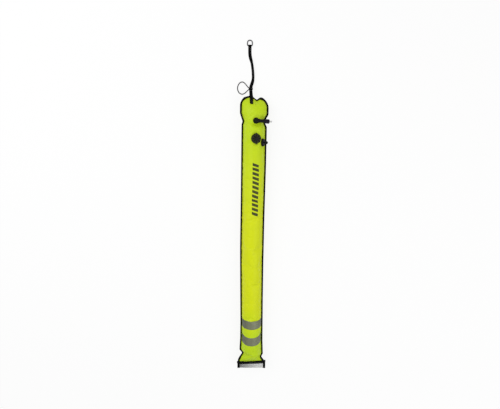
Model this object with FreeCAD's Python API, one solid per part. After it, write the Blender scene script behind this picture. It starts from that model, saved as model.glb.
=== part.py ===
import FreeCAD, Part
import math
import os

from FreeCAD import Placement, Rotation, Vector

# Inflated surface marker buoy, lying on its back.  Millimetres.
# +Y runs along the tube to the strap end, +X to the side with the inflator, +Z up.
# Until it is exported the model keeps the outer edge of its far seam at Y = 0,
# the tube's axis at X = 0 and the floor at Z = 0.

# ---- bag: two panels welded along one flat seam -------------------------------------
BAG_LENGTH = 1395.0         # over the bindings, strap end to far end
TUBE_R = 52.0               # radius of the inflated tube
REST_HALF = 10.0            # half width of the strip that lies on the floor
BINDING_WIDTH = 8.0
BINDING_THICK = 2.6
SIDE_TRIM = 1.0             # how far the round panel is trimmed back at the seam
CLEAR = 0.3                 # between pieces that are sewn or clamped together
EDGE_DEPTH = 1.2            # depth of a panel where it runs into a binding
SEAT_MARGIN = 1.2           # of a fitting's flat seat round its flange
LOFT_DEGREE = 3             # of the panels' free surfaces along the bag
SEAT_PLUG = 20.0            # how deep the seat's plug reaches into the panel

NECK_HALF = 47.0            # the pinched neck under the head
NECK_DEPTH = 40.0
NECK_SPREAD = 3.0           # how far the round panels run on under the seam at the neck
NECK_FROM_END = 117.0
HEAD_HALF = 68.0
HEAD_WIDE_FROM_END = 78.0
HEAD_DEPTH = 38.0
HEAD_CORNER_LEFT = 40.0
HEAD_CORNER_RIGHT = 58.0
HEAD_DRAWN = 20.0           # how far the round panels stay inside the head seam's ends
SHOULDER_FROM_END = 144.0
SHOULDER_ROUND = 24.0
SHOULDER_SHARE = 0.9        # of the tube's radius, half way down the shoulder
NECK_ROUND = 9.0

# The head's sections: distance from its seam, drawn in from its width, share of its depth.
HEAD_SECTIONS = [(68.0, 1.0, 1.0), (34.0, 3.0, 0.62), (20.0, 10.0, 0.33)]

FULL_FROM_END = 165.0       # where the tube reaches its full roundness

WAIST_HALF = 47.0           # the pinch above the far seam
WAIST_DEPTH = 37.0
WAIST_AT = 42.0
WAIST_ROUND = 12.0
HIP_AT = 74.0
HIP_DEPTH = 48.0
HIP_DRAWN = 1.5             # how far the round panels are still drawn in there
HIP_ROUND = 30.0
END_HALF = 74.0
END_CORNER = 5.0
END_DRAWN = 3.0             # how far the round panels stay inside the far seam's ends
FLARE_SHARE = 0.6           # of the waist's depth, half way to the far seam
FULL_AT = 112.0             # where the far end reaches its full roundness

# ---- reflective bands ---------------------------------------------------------------
BAND_WIDTH = 38.0
BAND_THICK = 0.9
BAND_CENTRES = {"reflective_band_lower": 136.0, "reflective_band_upper": 225.0}

# ---- carrying strap, its fold, keeper and ring --------------------------------------
STRAP_WIDTH = 15.0
STRAP_THICK = 2.2
STRAP_STEP = math.radians(7.0)    # largest turn between two sections of the strap
ARC_SHARE = 0.45            # of the shorter of two runs, which the arc between them takes up
FLOOR_GAP = 0.2             # under whatever lies on the floor
STRAP_X = -17.5             # where the strap crosses the head seam
STRAP_LEVEL = 14.0          # its level start, off the end of the tab
TAB_ON_BAG = 26.0           # length of the tab sewn on the panel
TAB_OUT = 2.0               # how far it passes the seam
TAB_LAP = 6.0               # of its level part over the panel's edge
TAB_ROUND = 7.2             # radius of its sewn tip's corners
FOLD_LENGTH = 22.0          # doubled, sewn end of the strap
RING_WIRE = 5.0             # across its flats
RING_BEVEL = 1.4
RING_SIDE_GAP = 2.0         # webbing to each side of the ring
RING_CORNER = 4.0
RING_REACH = 26.0           # bar to crown, along the wire's centre
EYE_GAP = 0.4               # webbing to the ring's bar
KEEPER_LENGTH = 14.0
KEEPER_WALL = 1.8
KEEPER_GAP = 0.5
KEEPER_BEVEL = 1.2
KEEPER_RUN = 2              # the run of the strap that the keeper grips

# The strap's route after its level start, down to the floor and along it:
# X, Y from the head seam, Z.
STRAP_ROUTE = [
    (-18.6, 32.0, 45.5),
    (-19.3, 52.0, 26.0),
    (-16.0, 71.0, 9.8),
    (-10.6, 90.0, 2.4),
    (-9.2, 113.0, 1.4),
    (-10.6, 143.0, 1.3),
    (-17.0, 173.0, 1.3),
    (-24.5, 200.0, 1.3),
    (-24.5, 223.0, 1.3),
]

# ---- thin line loop -----------------------------------------------------------------
LINE_DIAMETER = 4.0
LINE_SIDES = 8              # of the section that the line is drawn with
LINE_OFFSET = 6.4           # of the line's two ends along the keeper, from its middle
LINE_GAP = 1.9              # keeper to the centre of each end of the line

# The line's route between its two ends: X, Y from the head seam, Z.
LINE_ROUTE = [
    (-38.0, 57.0, 26.5),
    (-47.0, 69.0, 15.5),
    (-58.0, 77.0, 5.5),
    (-71.0, 73.5, 2.5),
    (-81.0, 59.0, 2.2),
    (-83.0, 40.0, 2.2),
    (-75.5, 22.5, 2.2),
    (-61.0, 15.5, 4.0),
    (-48.5, 20.0, 12.5),
    (-38.8, 28.0, 27.0),
]

# ---- oral and low pressure inflator -------------------------------------------------
INFLATOR_FROM_END = 111.0
INFLATOR_TILT = 15.0        # of its base, round the tube's axis
INFLATOR_TURN = -3.5        # of its barrel, on the base
INFLATOR_SINK = 1.8         # of its seat, below the bag's skin
INFLATOR_FLANGE_R = 15.0
INFLATOR_FLANGE_THICK = 2.0
INFLATOR_BOSS_R = 10.5
INFLATOR_AXIS_RISE = 13.0   # of the barrel's axis above the base
BARREL_R = 8.2
BARREL_STEP = 1.2           # of its collar above the barrel, and of its length
COLLAR_LENGTH = 7.0
ELBOW_WALL = 1.6            # of the elbow round the barrel's line
ELBOW_BACK = 10.0           # the elbow's closed end, behind its boss
ELBOW_BEVEL = 4.0
BARREL_END = 39.0
TIP_R = 10.6
TIP_END = 63.0
TIP_BEVEL = 2.0
TIP_FLUTES = 10
FLUTE_R = 3.0
FLUTE_DEPTH = 1.1
NIPPLE_R = 4.75
NIPPLE_NECK_R = 3.6
NIPPLE_NECK_TAPER = 1.2
NIPPLE_END = 77.0
NIPPLE_BORE_R = 1.9
NIPPLE_HEAD = 7.0           # length of the plain head at its full radius

# ---- round dump valve on the front --------------------------------------------------
DUMP_FROM_END = 197.0
DUMP_TILT = 13.0
DUMP_SINK = 4.0
DUMP_FLANGE_R = 24.5
DUMP_FLANGE_THICK = 1.8
DUMP_RIM = 1.0              # flange beyond the cap
DIAPHRAGM_R = 14.5
DIAPHRAGM_RISE = 1.2        # of the diaphragm above the flange
CAP_HEIGHT = 8.5
CAP_WALL = 2.0
CAP_LOBES = 8
SCALLOP_R = 7.0             # of the hollows between the lobes
SCALLOP_DEPTH = 1.6
VENT_WIDTH = 3.4
LUG_REACH = 4.0             # of a grip lug, out from the cap
LUG_WIDTH = 9.0
LUG_BASE = 3.2
LUG_THICK = 2.3
DUMP_BUTTON_R = 9.5
DUMP_BUTTON_HEIGHT = 13.0
BUTTON_BEVEL = 1.6

# ---- pull dump valve at the side ----------------------------------------------------
VALVE_GAP = 4.7613          # between the two valves' flanges, along the bag's skin
SIDE_TILT = 62.0
SIDE_SINK = 2.5
SIDE_FLANGE_R = 19.5
SIDE_FLANGE_THICK = 1.8
SIDE_RIM = 1.5              # flange beyond the cap
SIDE_CAP_SKIRT = 4.0
SIDE_CAP_HEIGHT = 6.5
SIDE_CAP_BEVEL = 4.0
SIDE_STEM_R = 3.2
SIDE_KNOB_R = 6.8
SIDE_KNOB_NECK_R = 4.6
SIDE_KNOB_BASE = 11.0
SIDE_KNOB_NECK = 4.0
SIDE_KNOB_END = 27.0
SIDE_KNOB_BEVEL = 2.5

# ---- clear sleeve for a light stick, sewn into the far seam -------------------------
SLEEVE_HALF = 73.0
SLEEVE_DEPTH = 28.0
SLEEVE_HEIGHT = 11.0
SLEEVE_WALL = 0.9
SLEEVE_TAIL = 2.2           # thickness where it enters the seam
SLEEVE_TAPER = 9.0
SLEEVE_BLEND = 6.0          # radius where the taper runs into the round sleeve
SLEEVE_ROUND = 5.0
CUFF_WIDTH = 12.0
CUFF_THICK = 1.5

HEAD_Y = BAG_LENGTH
SEAM_HEIGHT = math.sqrt(TUBE_R ** 2 - REST_HALF ** 2)
BODY_HALF = TUBE_R - SIDE_TRIM + BINDING_WIDTH
INSET = BINDING_WIDTH + CLEAR
VALVE_SPACING = DUMP_FLANGE_R + SIDE_FLANGE_R + VALVE_GAP
VALVE_ARC = TUBE_R * math.radians(SIDE_TILT - DUMP_TILT)
SIDE_FROM_END = DUMP_FROM_END + math.sqrt(max(0.0, VALVE_SPACING ** 2 - VALVE_ARC ** 2))
TAB_Z = SEAM_HEIGHT + BINDING_THICK / 2 + CLEAR + STRAP_THICK / 2
WORLD_Z = Vector(0, 0, 1)


def rounded_wire(corners):
    """Closed wire in the XY plane through (x, y, radius) corners, each rounded by an arc."""
    points = [Vector(x, y, 0) for x, y, radius in corners]
    edges = []
    ends = []
    for index, point in enumerate(points):
        before = (points[index - 1] - point).normalize()
        after = (points[(index + 1) % len(points)] - point).normalize()
        radius = corners[index][2]
        half = before.getAngle(after) / 2
        reach = radius / math.tan(half) if radius else 0.0
        start = point + before * reach
        end = point + after * reach
        if radius:
            bisector = (before + after).normalize()
            middle = point + bisector * (radius / math.sin(half) - radius)
            edges.append(Part.Arc(start, middle, end).toShape())
        ends.append((start, end))
    for index, (start, end) in enumerate(ends):
        following = ends[(index + 1) % len(ends)][0]
        edges.append(Part.makeLine(end, following))
    return Part.Wire(Part.__sortEdges__(edges))


def outline():
    """Plan of the whole bag over its bindings."""
    right = [
        (END_HALF, 0.0, END_CORNER),
        (WAIST_HALF, WAIST_AT, WAIST_ROUND),
        (BODY_HALF, HIP_AT, HIP_ROUND),
        (BODY_HALF, HEAD_Y - SHOULDER_FROM_END, SHOULDER_ROUND),
        (NECK_HALF, HEAD_Y - NECK_FROM_END, NECK_ROUND),
        (HEAD_HALF, HEAD_Y - HEAD_WIDE_FROM_END, SHOULDER_ROUND),
    ]
    left = [(-x, y, radius) for x, y, radius in reversed(right)]
    head = [(HEAD_HALF, HEAD_Y, HEAD_CORNER_RIGHT), (-HEAD_HALF, HEAD_Y, HEAD_CORNER_LEFT)]
    return rounded_wire(right + head + left)


def inset_face(distance):
    """The bag's plan, drawn in by a distance, as a face."""
    wire = outline()
    if distance:
        wire = wire.makeOffset2D(-distance)
    return Part.Face(wire)


def panel_stations():
    """(y, half width over the bindings, depth) of each panel along the bag, in three runs."""
    neck_y = HEAD_Y - NECK_FROM_END
    shoulder_y = HEAD_Y - SHOULDER_FROM_END
    full_end = (FULL_AT, BODY_HALF, TUBE_R)
    full_head = (HEAD_Y - FULL_FROM_END, BODY_HALF, TUBE_R)
    flare = (WAIST_AT / 2, (END_HALF + WAIST_HALF) / 2, FLARE_SHARE * WAIST_DEPTH)
    waist = (WAIST_AT, WAIST_HALF, WAIST_DEPTH)
    hip = (HIP_AT, BODY_HALF - HIP_DRAWN, HIP_DEPTH)
    shoulder_half = (NECK_HALF + BODY_HALF) / 2 + NECK_SPREAD
    shoulder = ((neck_y + shoulder_y) / 2, shoulder_half, SHOULDER_SHARE * TUBE_R)
    neck = (neck_y, NECK_HALF + NECK_SPREAD, NECK_DEPTH)
    head = [
        (HEAD_Y - from_end, HEAD_HALF - drawn, share * HEAD_DEPTH)
        for from_end, drawn, share in HEAD_SECTIONS
    ]
    far_seam = (INSET, END_HALF - END_DRAWN, EDGE_DEPTH)
    head_seam = (HEAD_Y - INSET, HEAD_HALF - HEAD_DRAWN, EDGE_DEPTH)
    return [
        [far_seam, flare, waist, hip, full_end],
        [full_end, full_head],
        [full_head, shoulder, neck] + head + [head_seam],
    ]


def panel_half(over_binding):
    """Half width of a panel's round section where the bag has this half width in all."""
    return over_binding - BINDING_WIDTH + SIDE_TRIM


def half_section(y, half_width, depth, side):
    """One panel's cross section at y: an arc standing on the seam plane."""
    left = Vector(-half_width, y, SEAM_HEIGHT)
    crest = Vector(0, y, SEAM_HEIGHT + side * depth)
    right = Vector(half_width, y, SEAM_HEIGHT)
    return Part.Wire([Part.Arc(left, crest, right).toShape(), Part.makeLine(right, left)])


def panel_solid(side, skin=0.0):
    """One panel's rounded solid, grown by a skin; side is 1 for the front, -1 for the back."""
    parts = []
    for run in panel_stations():
        wires = []
        for y, over_binding, depth in run:
            wires.append(half_section(y, panel_half(over_binding) + skin, depth + skin, side))
        if len(run) == 2:
            along = Vector(0, run[1][0] - run[0][0], 0)
            parts.append(Part.Face(wires[0]).extrude(along))
        else:
            parts.append(Part.makeLoft(wires, True, False, False, LOFT_DEGREE))
    return parts[0].fuse(parts[1:]).removeSplitter()


def skin_distance(from_end, tilt):
    """Distance of the bag's skin from the tube's axis, on a line tilted round that axis."""
    at = HEAD_Y - from_end
    stations = [station for run in panel_stations() for station in run]
    for before, after in zip(stations, stations[1:]):
        if before[0] <= at <= after[0] and before[0] < after[0]:
            share = (at - before[0]) / (after[0] - before[0])
            half_width = panel_half(before[1] + share * (after[1] - before[1]))
            depth = before[2] + share * (after[2] - before[2])
    radius = (half_width ** 2 + depth ** 2) / (2 * depth)
    centre = depth - radius
    angle = math.radians(tilt)
    return centre * math.cos(angle) + math.sqrt(radius ** 2 - (centre * math.sin(angle)) ** 2)


def fitting_place(from_end, tilt, sink, lift=0.0):
    """Placement whose origin lies on a fitting's sunk seat and whose Z is the seat's normal."""
    normal = Vector(math.sin(math.radians(tilt)), 0, math.cos(math.radians(tilt)))
    seat = skin_distance(from_end, tilt) - sink + lift
    origin = Vector(0, HEAD_Y - from_end, SEAM_HEIGHT) + normal * seat
    return Placement(origin, Rotation(Vector(0, 1, 0), tilt))


def fitting_seats():
    """(placement, radius) of each flat seat that a rigid fitting pulls in the front panel."""
    return [
        (fitting_place(INFLATOR_FROM_END, INFLATOR_TILT, INFLATOR_SINK), INFLATOR_FLANGE_R),
        (fitting_place(DUMP_FROM_END, DUMP_TILT, DUMP_SINK), DUMP_FLANGE_R),
        (fitting_place(SIDE_FROM_END, SIDE_TILT, SIDE_SINK), SIDE_FLANGE_R),
    ]


def placed(shape, place):
    """Copy of a shape moved from a fitting's own frame to the bag."""
    moved = shape.copy()
    moved.Placement = place.multiply(moved.Placement)
    return moved


def bag_front():
    """Upper panel, flattened where the three fittings sit."""
    prism = inset_face(INSET).extrude(Vector(0, 0, 3 * SEAM_HEIGHT))
    solid = panel_solid(1).common(prism)
    prism.translate(Vector(0, 0, SEAM_HEIGHT))
    for place, radius in fitting_seats():
        boss = Part.makeCylinder(radius + SEAT_MARGIN, SEAT_PLUG, Vector(0, 0, -SEAT_PLUG))
        solid = solid.fuse(placed(boss, place).common(prism))
    for place, radius in fitting_seats():
        space = Part.makeCylinder(radius + SEAT_MARGIN, SEAT_PLUG)
        solid = solid.cut(placed(space, place))
    return solid.removeSplitter()


def bag_back():
    """Lower panel, flattened along the floor."""
    prism = inset_face(INSET).extrude(Vector(0, 0, SEAM_HEIGHT))
    return panel_solid(-1).common(prism)


def bindings():
    """The folded tape over the seam, in the four lengths that it is sewn in."""
    thickness = Vector(0, 0, BINDING_THICK)
    ring = inset_face(0).cut(inset_face(BINDING_WIDTH)).extrude(thickness)
    ring.translate(Vector(0, 0, SEAM_HEIGHT - BINDING_THICK / 2))
    neck_y = HEAD_Y - NECK_FROM_END
    wide = 4 * END_HALF
    tall = 4 * BINDING_THICK
    low = SEAM_HEIGHT - tall / 2

    def between(y_start, y_end, x_start, x_end):
        corner = Vector(x_start, y_start, low)
        box = Part.makeBox(x_end - x_start, y_end - y_start, tall, corner)
        return ring.common(box)

    return {
        "binding_end": between(-1.0, BINDING_WIDTH, -wide, wide),
        "binding_left": between(BINDING_WIDTH, neck_y, -wide, 0.0),
        "binding_right": between(BINDING_WIDTH, neck_y, 0.0, wide),
        "binding_head": between(neck_y, HEAD_Y + 1.0, -wide, wide),
    }


def reflective_band(centre):
    """Tape over the front panel, from binding to binding."""
    y = centre - BAND_WIDTH / 2
    inner_r = TUBE_R + CLEAR
    start = Vector(0, y, SEAM_HEIGHT)
    along = Vector(0, 1, 0)
    band = Part.makeCylinder(inner_r + BAND_THICK, BAND_WIDTH, start, along)
    band = band.cut(Part.makeCylinder(inner_r, BAND_WIDTH, start, along))
    low = SEAM_HEIGHT + BINDING_THICK / 2 + CLEAR
    size = 4 * TUBE_R
    keep = Part.makeBox(size, size, size, Vector(-size / 2, centre - size / 2, low))
    return band.common(keep)


def strap_tab():
    """Webbing tab: sewn on the head's front and carried over the binding."""
    width = STRAP_WIDTH
    tip_y = HEAD_Y - INSET - TAB_ON_BAG
    out_y = HEAD_Y + TAB_OUT
    left = STRAP_X - width / 2
    plan = rounded_wire([
        (left, tip_y, TAB_ROUND),
        (left + width, tip_y, TAB_ROUND),
        (left + width, out_y, 0.0),
        (left, out_y, 0.0),
    ])
    column = Part.Face(plan).extrude(Vector(0, 0, 2 * SEAM_HEIGHT))
    column.translate(Vector(0, 0, SEAM_HEIGHT + CLEAR))
    skin = panel_solid(1, CLEAR + STRAP_THICK).cut(panel_solid(1, CLEAR))
    on_bag = column.common(skin)
    base_z = SEAM_HEIGHT + BINDING_THICK / 2 + CLEAR
    start_y = HEAD_Y - INSET - TAB_LAP
    plate = Part.makeBox(width, out_y - start_y, STRAP_THICK, Vector(left, start_y, base_z))
    plate = plate.cut(panel_solid(1, CLEAR))
    return largest(on_bag.fuse(plate).removeSplitter())


def largest(shape):
    """The biggest solid of a shape."""
    return max(shape.Solids, key=lambda solid: solid.Volume)


def route(points, name):
    """Straight runs joined by tangent arcs, each as large as its two runs allow."""
    edges = []
    radii = []
    start = points[0]
    for index in range(1, len(points) - 1):
        point = points[index]
        back = points[index - 1] - point
        ahead = points[index + 1] - point
        reach = ARC_SHARE * min(back.Length, ahead.Length)
        back.normalize()
        ahead.normalize()
        half = back.getAngle(ahead) / 2
        radius = reach * math.tan(half)
        radii.append(radius)
        arc_start = point + back * reach
        arc_end = point + ahead * reach
        bisector = (back + ahead).normalize()
        middle = point + bisector * (radius / math.sin(half) - radius)
        edges.append(Part.makeLine(start, arc_start))
        edges.append(Part.Arc(arc_start, middle, arc_end).toShape())
        start = arc_end
    edges.append(Part.makeLine(start, points[-1]))
    wire = Part.Wire(edges)
    listed = " ".join(f"{radius:.0f}" for radius in radii)
    print(f"{name}: length {wire.Length:.1f} mm, radii {listed}")
    return wire


def report_volume(solid, wire, section_area, name):
    """Print a cord's volume over its section times its length."""
    print(f"{name}: volume ratio {solid.Volume / (section_area * wire.Length):.4f}")


def tape_section(point, ahead):
    """Webbing's rectangular section at a point of its route, its width kept level."""
    across = ahead.cross(WORLD_Z).normalize()
    up = across.cross(ahead).normalize()
    corners = []
    for side, lift in ((-1, -1), (1, -1), (1, 1), (-1, 1)):
        offset = across * (side * STRAP_WIDTH / 2) + up * (lift * STRAP_THICK / 2)
        corners.append(point + offset)
    return Part.makePolygon(corners + corners[:1])


def from_head(points):
    """A route's points with their Y counted from the head seam, as vectors."""
    return [Vector(x, HEAD_Y + y, z) for x, y, z in points]


def strap_points():
    """The strap's whole route, which starts level on the tab's end."""
    start = Vector(STRAP_X, HEAD_Y + TAB_OUT, TAB_Z)
    return [start, start + Vector(0, STRAP_LEVEL, 0)] + from_head(STRAP_ROUTE)


def pull_strap():
    """The free length of webbing: flat sections carried along its route."""
    points = strap_points()
    wire = route(points, "pull_strap")
    sections = [tape_section(points[0], wire.OrderedEdges[0].tangentAt(0.0))]
    for edge in wire.OrderedEdges:
        first, last = edge.FirstParameter, edge.LastParameter
        turn = edge.tangentAt(first).getAngle(edge.tangentAt(last))
        steps = 1 + int(turn / STRAP_STEP)
        for step in range(1, steps + 1):
            at = first + (last - first) * step / steps
            sections.append(tape_section(edge.valueAt(at), edge.tangentAt(at)))
    strap = Part.makeLoft(sections, True, True)
    report_volume(strap, wire, STRAP_WIDTH * STRAP_THICK, "pull_strap")
    return strap


def keeper_place():
    """Placement of the keeper: its X across the strap and its Y along it."""
    start, end = strap_points()[KEEPER_RUN:KEEPER_RUN + 2]
    ahead = (end - start).normalize()
    across = ahead.cross(WORLD_Z).normalize()
    return Placement((start + end) / 2, Rotation(across, ahead, across.cross(ahead), "YXZ"))


def keeper_hollow():
    """Width and thickness of the keeper's slot for the strap."""
    return STRAP_WIDTH + 2 * KEEPER_GAP, STRAP_THICK + 2 * KEEPER_GAP


def strap_keeper():
    """Stitched block on the strap that grips both ends of the line."""
    hollow_w, hollow_t = keeper_hollow()
    width = hollow_w + 2 * KEEPER_WALL
    thick = hollow_t + 2 * KEEPER_WALL
    corner = Vector(-width / 2, -KEEPER_LENGTH / 2, -thick / 2)
    block = Part.makeBox(width, KEEPER_LENGTH, thick, corner)
    block = block.makeChamfer(KEEPER_BEVEL, block.Edges)
    corner = Vector(-hollow_w / 2, -KEEPER_LENGTH, -hollow_t / 2)
    slot = Part.makeBox(hollow_w, 2 * KEEPER_LENGTH, hollow_t, corner)
    return placed(block.cut(slot), keeper_place())


def polygon_face(centre, normal, radius, sides):
    """Regular polygon as a face, square to a normal."""
    across = normal.cross(WORLD_Z).normalize()
    up = across.cross(normal).normalize()
    corners = []
    for index in range(sides):
        angle = 2 * math.pi * (index + 0.5) / sides
        corners.append(centre + across * (radius * math.cos(angle)) + up * (radius * math.sin(angle)))
    return Part.Face(Part.makePolygon(corners + corners[:1]))


def line_loop():
    """The thin line, out of the keeper and back to it."""
    place = keeper_place()
    side = -keeper_hollow()[0] / 2 - KEEPER_WALL - LINE_GAP
    ends = [place.multVec(Vector(side, offset, 0)) for offset in (LINE_OFFSET, -LINE_OFFSET)]
    points = [ends[0]] + from_head(LINE_ROUTE) + [ends[1]]
    wire = route(points, "line_loop")
    radius = LINE_DIAMETER / 2
    section = polygon_face(points[0], (points[1] - points[0]).normalize(), radius, LINE_SIDES)
    line = wire.makePipe(section)
    report_volume(line, wire, section.Area, "line_loop")
    return line


def ring_bar():
    """Centre of the ring's bar and the outside radius of the fold around it."""
    eye_r = RING_WIRE / 2 + EYE_GAP + STRAP_THICK
    end = strap_points()[-1]
    bar_y = end.y + FOLD_LENGTH + eye_r - STRAP_THICK / 2
    return Vector(end.x, bar_y, eye_r + FLOOR_GAP), eye_r


def strap_fold():
    """The strap's end: folded round the ring's bar and sewn to itself."""
    bar, eye_r = ring_bar()
    left = bar.x - STRAP_WIDTH / 2
    across = Vector(1, 0, 0)
    start_y = strap_points()[-1].y
    corner = Vector(left, start_y, FLOOR_GAP)
    doubled = Part.makeBox(STRAP_WIDTH, bar.y - start_y, 2 * STRAP_THICK, corner)
    eye_start = Vector(left, bar.y, bar.z)
    eye = Part.makeCylinder(eye_r, STRAP_WIDTH, eye_start, across)
    hole = Part.makeCylinder(eye_r - STRAP_THICK, STRAP_WIDTH, eye_start, across)
    return doubled.fuse(eye).cut(hole).removeSplitter()


def ring_section():
    """Bevelled square section of the ring, centred on the middle of its bar."""
    half = RING_WIRE / 2
    short = half - RING_BEVEL
    corners = [(half, short), (short, half), (-short, half), (-half, short),
               (-half, -short), (-short, -half), (short, -half), (half, -short)]
    points = [Vector(0, y, z) for y, z in corners]
    return Part.Face(Part.makePolygon(points + points[:1]))


def strap_ring():
    """Steel ring: a straight bar for the webbing and a round crown."""
    bar = ring_bar()[0]
    half = (STRAP_WIDTH + 2 * RING_SIDE_GAP + RING_WIRE) / 2
    crown_y = RING_REACH - half
    turn = math.sqrt(0.5)
    straight = half - RING_CORNER
    edges = [Part.makeLine(Vector(0, 0, 0), Vector(straight, 0, 0))]
    edges.append(Part.makeLine(Vector(-straight, 0, 0), Vector(0, 0, 0)))
    for side in (1, -1):
        centre = Vector(side * straight, RING_CORNER, 0)
        middle = centre + Vector(side * turn, -turn, 0) * RING_CORNER
        foot = Vector(side * half, RING_CORNER, 0)
        edges.append(Part.Arc(centre - Vector(0, RING_CORNER, 0), middle, foot).toShape())
        edges.append(Part.makeLine(foot, Vector(side * half, crown_y, 0)))
    crown = Vector(0, RING_REACH, 0)
    edges.append(Part.Arc(Vector(half, crown_y, 0), crown, Vector(-half, crown_y, 0)).toShape())
    ring = Part.Wire(Part.__sortEdges__(edges)).makePipe(ring_section())
    drop = bar.z - RING_WIRE / 2 - FLOOR_GAP
    tilt = math.degrees(math.asin(drop / RING_REACH))
    ring.Placement = Placement(bar, Rotation(Vector(1, 0, 0), -tilt))
    return ring


def revolved(profile):
    """Solid of a closed (radius, height) profile turned about Z."""
    points = [Vector(radius, 0, height) for radius, height in profile]
    face = Part.Face(Part.makePolygon(points + points[:1]))
    return face.revolve(Vector(0, 0, 0), WORLD_Z, 360)


def around(shape, count):
    """A shape repeated about Z, joined into one compound."""
    copies = []
    for index in range(count):
        turned = shape.copy()
        turned.rotate(Vector(0, 0, 0), WORLD_Z, 360.0 * index / count)
        copies.append(turned)
    return Part.makeCompound(copies)


def bevelled_disc(radius, height, bevel):
    """Disc on Z = 0 with a bevelled upper rim."""
    return revolved([
        (0.0, 0.0), (radius, 0.0), (radius, height - bevel), (radius - bevel, height), (0.0, height),
    ])


def inflator_elbow():
    """Boss and the cross tube over it, in the frame of the base, its tube along X."""
    rise = INFLATOR_AXIS_RISE
    base = INFLATOR_FLANGE_THICK + CLEAR
    boss = Part.makeCylinder(INFLATOR_BOSS_R, rise - base, Vector(0, 0, base))
    outer = BARREL_R + ELBOW_WALL
    tube = revolved([
        (0.0, -ELBOW_BACK), (outer - ELBOW_BEVEL, -ELBOW_BACK), (outer, -ELBOW_BACK + ELBOW_BEVEL),
        (outer, INFLATOR_BOSS_R), (0.0, INFLATOR_BOSS_R),
    ])
    tube.Placement = Placement(Vector(0, 0, rise), Rotation(WORLD_Z, Vector(1, 0, 0)))
    return boss.fuse(tube).removeSplitter()


def inflator_tip():
    """Fluted push tip, turned about Z, which is the barrel's line."""
    start = BARREL_END + CLEAR
    tip = revolved([
        (0.0, start), (TIP_R - TIP_BEVEL / 2, start), (TIP_R, start + TIP_BEVEL / 2),
        (TIP_R, TIP_END - TIP_BEVEL), (TIP_R - TIP_BEVEL, TIP_END), (0.0, TIP_END),
    ])
    centre = TIP_R + FLUTE_R - FLUTE_DEPTH
    flute = Part.makeCylinder(FLUTE_R, TIP_END, Vector(centre, 0, start))
    return tip.cut(around(flute, TIP_FLUTES))


def inflator():
    """Flange, elbow, barrel, push tip and nipple of the oral inflator."""
    start = INFLATOR_BOSS_R + CLEAR
    collar_r = BARREL_R + BARREL_STEP
    collar_start = BARREL_END - COLLAR_LENGTH
    barrel = revolved([
        (0.0, start), (BARREL_R, start), (BARREL_R, collar_start), (collar_r, collar_start + BARREL_STEP),
        (collar_r, BARREL_END), (0.0, BARREL_END),
    ])
    nipple = revolved([
        (NIPPLE_BORE_R, TIP_END + CLEAR),
        (NIPPLE_NECK_R, TIP_END + CLEAR),
        (NIPPLE_NECK_R, NIPPLE_END - NIPPLE_HEAD - NIPPLE_NECK_TAPER),
        (NIPPLE_R, NIPPLE_END - NIPPLE_HEAD),
        (NIPPLE_R, NIPPLE_END),
        (NIPPLE_BORE_R, NIPPLE_END),
    ])
    on_line = {"inflator_barrel": barrel, "inflator_tip": inflator_tip(), "inflator_nipple": nipple}
    swing = Placement(Vector(0, 0, 0), Rotation(WORLD_Z, INFLATOR_TURN))
    along = Placement(Vector(0, 0, INFLATOR_AXIS_RISE), Rotation(WORLD_Z, Vector(1, 0, 0)))
    flange = bevelled_disc(INFLATOR_FLANGE_R, INFLATOR_FLANGE_THICK, INFLATOR_FLANGE_THICK / 2)
    pieces = {"inflator_flange": flange, "inflator_elbow": placed(inflator_elbow(), swing)}
    for name, shape in on_line.items():
        pieces[name] = placed(shape, swing.multiply(along))
    place = fitting_place(INFLATOR_FROM_END, INFLATOR_TILT, INFLATOR_SINK, CLEAR)
    return {name: placed(shape, place) for name, shape in pieces.items()}


def vented_cap():
    """Lobed cap of the dump valve: a thin shell, open below, with vents in its flat roof."""
    radius = DUMP_FLANGE_R - DUMP_RIM
    bore = DUMP_BUTTON_R + CLEAR
    hub = bore + CAP_WALL
    inner = radius - SCALLOP_DEPTH - CAP_WALL
    cap = revolved([
        (bore, 0.0), (hub, 0.0), (hub, CAP_HEIGHT - CAP_WALL), (inner, CAP_HEIGHT - CAP_WALL),
        (inner, 0.0), (radius, 0.0), (radius, CAP_HEIGHT), (bore, CAP_HEIGHT),
    ])
    lug_foot = inner + CAP_WALL / 2
    half = LUG_WIDTH / 2
    lug_tip = radius + LUG_REACH
    plan = rounded_wire([
        (lug_foot, -half, 0.0), (lug_tip, -half, half / 2),
        (lug_tip, half, half / 2), (lug_foot, half, 0.0),
    ])
    lug = Part.Face(plan).extrude(Vector(0, 0, LUG_THICK))
    lug.translate(Vector(0, 0, LUG_BASE))
    hollow = Part.makeCylinder(SCALLOP_R, CAP_HEIGHT, Vector(radius + SCALLOP_R - SCALLOP_DEPTH, 0, 0))
    vent = Part.makeBox(inner - hub - CAP_WALL, VENT_WIDTH, CAP_HEIGHT,
                        Vector(hub + CAP_WALL / 2, -VENT_WIDTH / 2, CAP_WALL))
    hollow.rotate(Vector(0, 0, 0), WORLD_Z, 180.0 / CAP_LOBES)
    cap = cap.cut(around(hollow, CAP_LOBES)).cut(around(vent, CAP_LOBES))
    cap = cap.fuse(around(lug, 2)).removeSplitter()
    cap.rotate(Vector(0, 0, 0), WORLD_Z, 90.0)
    return cap


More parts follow.
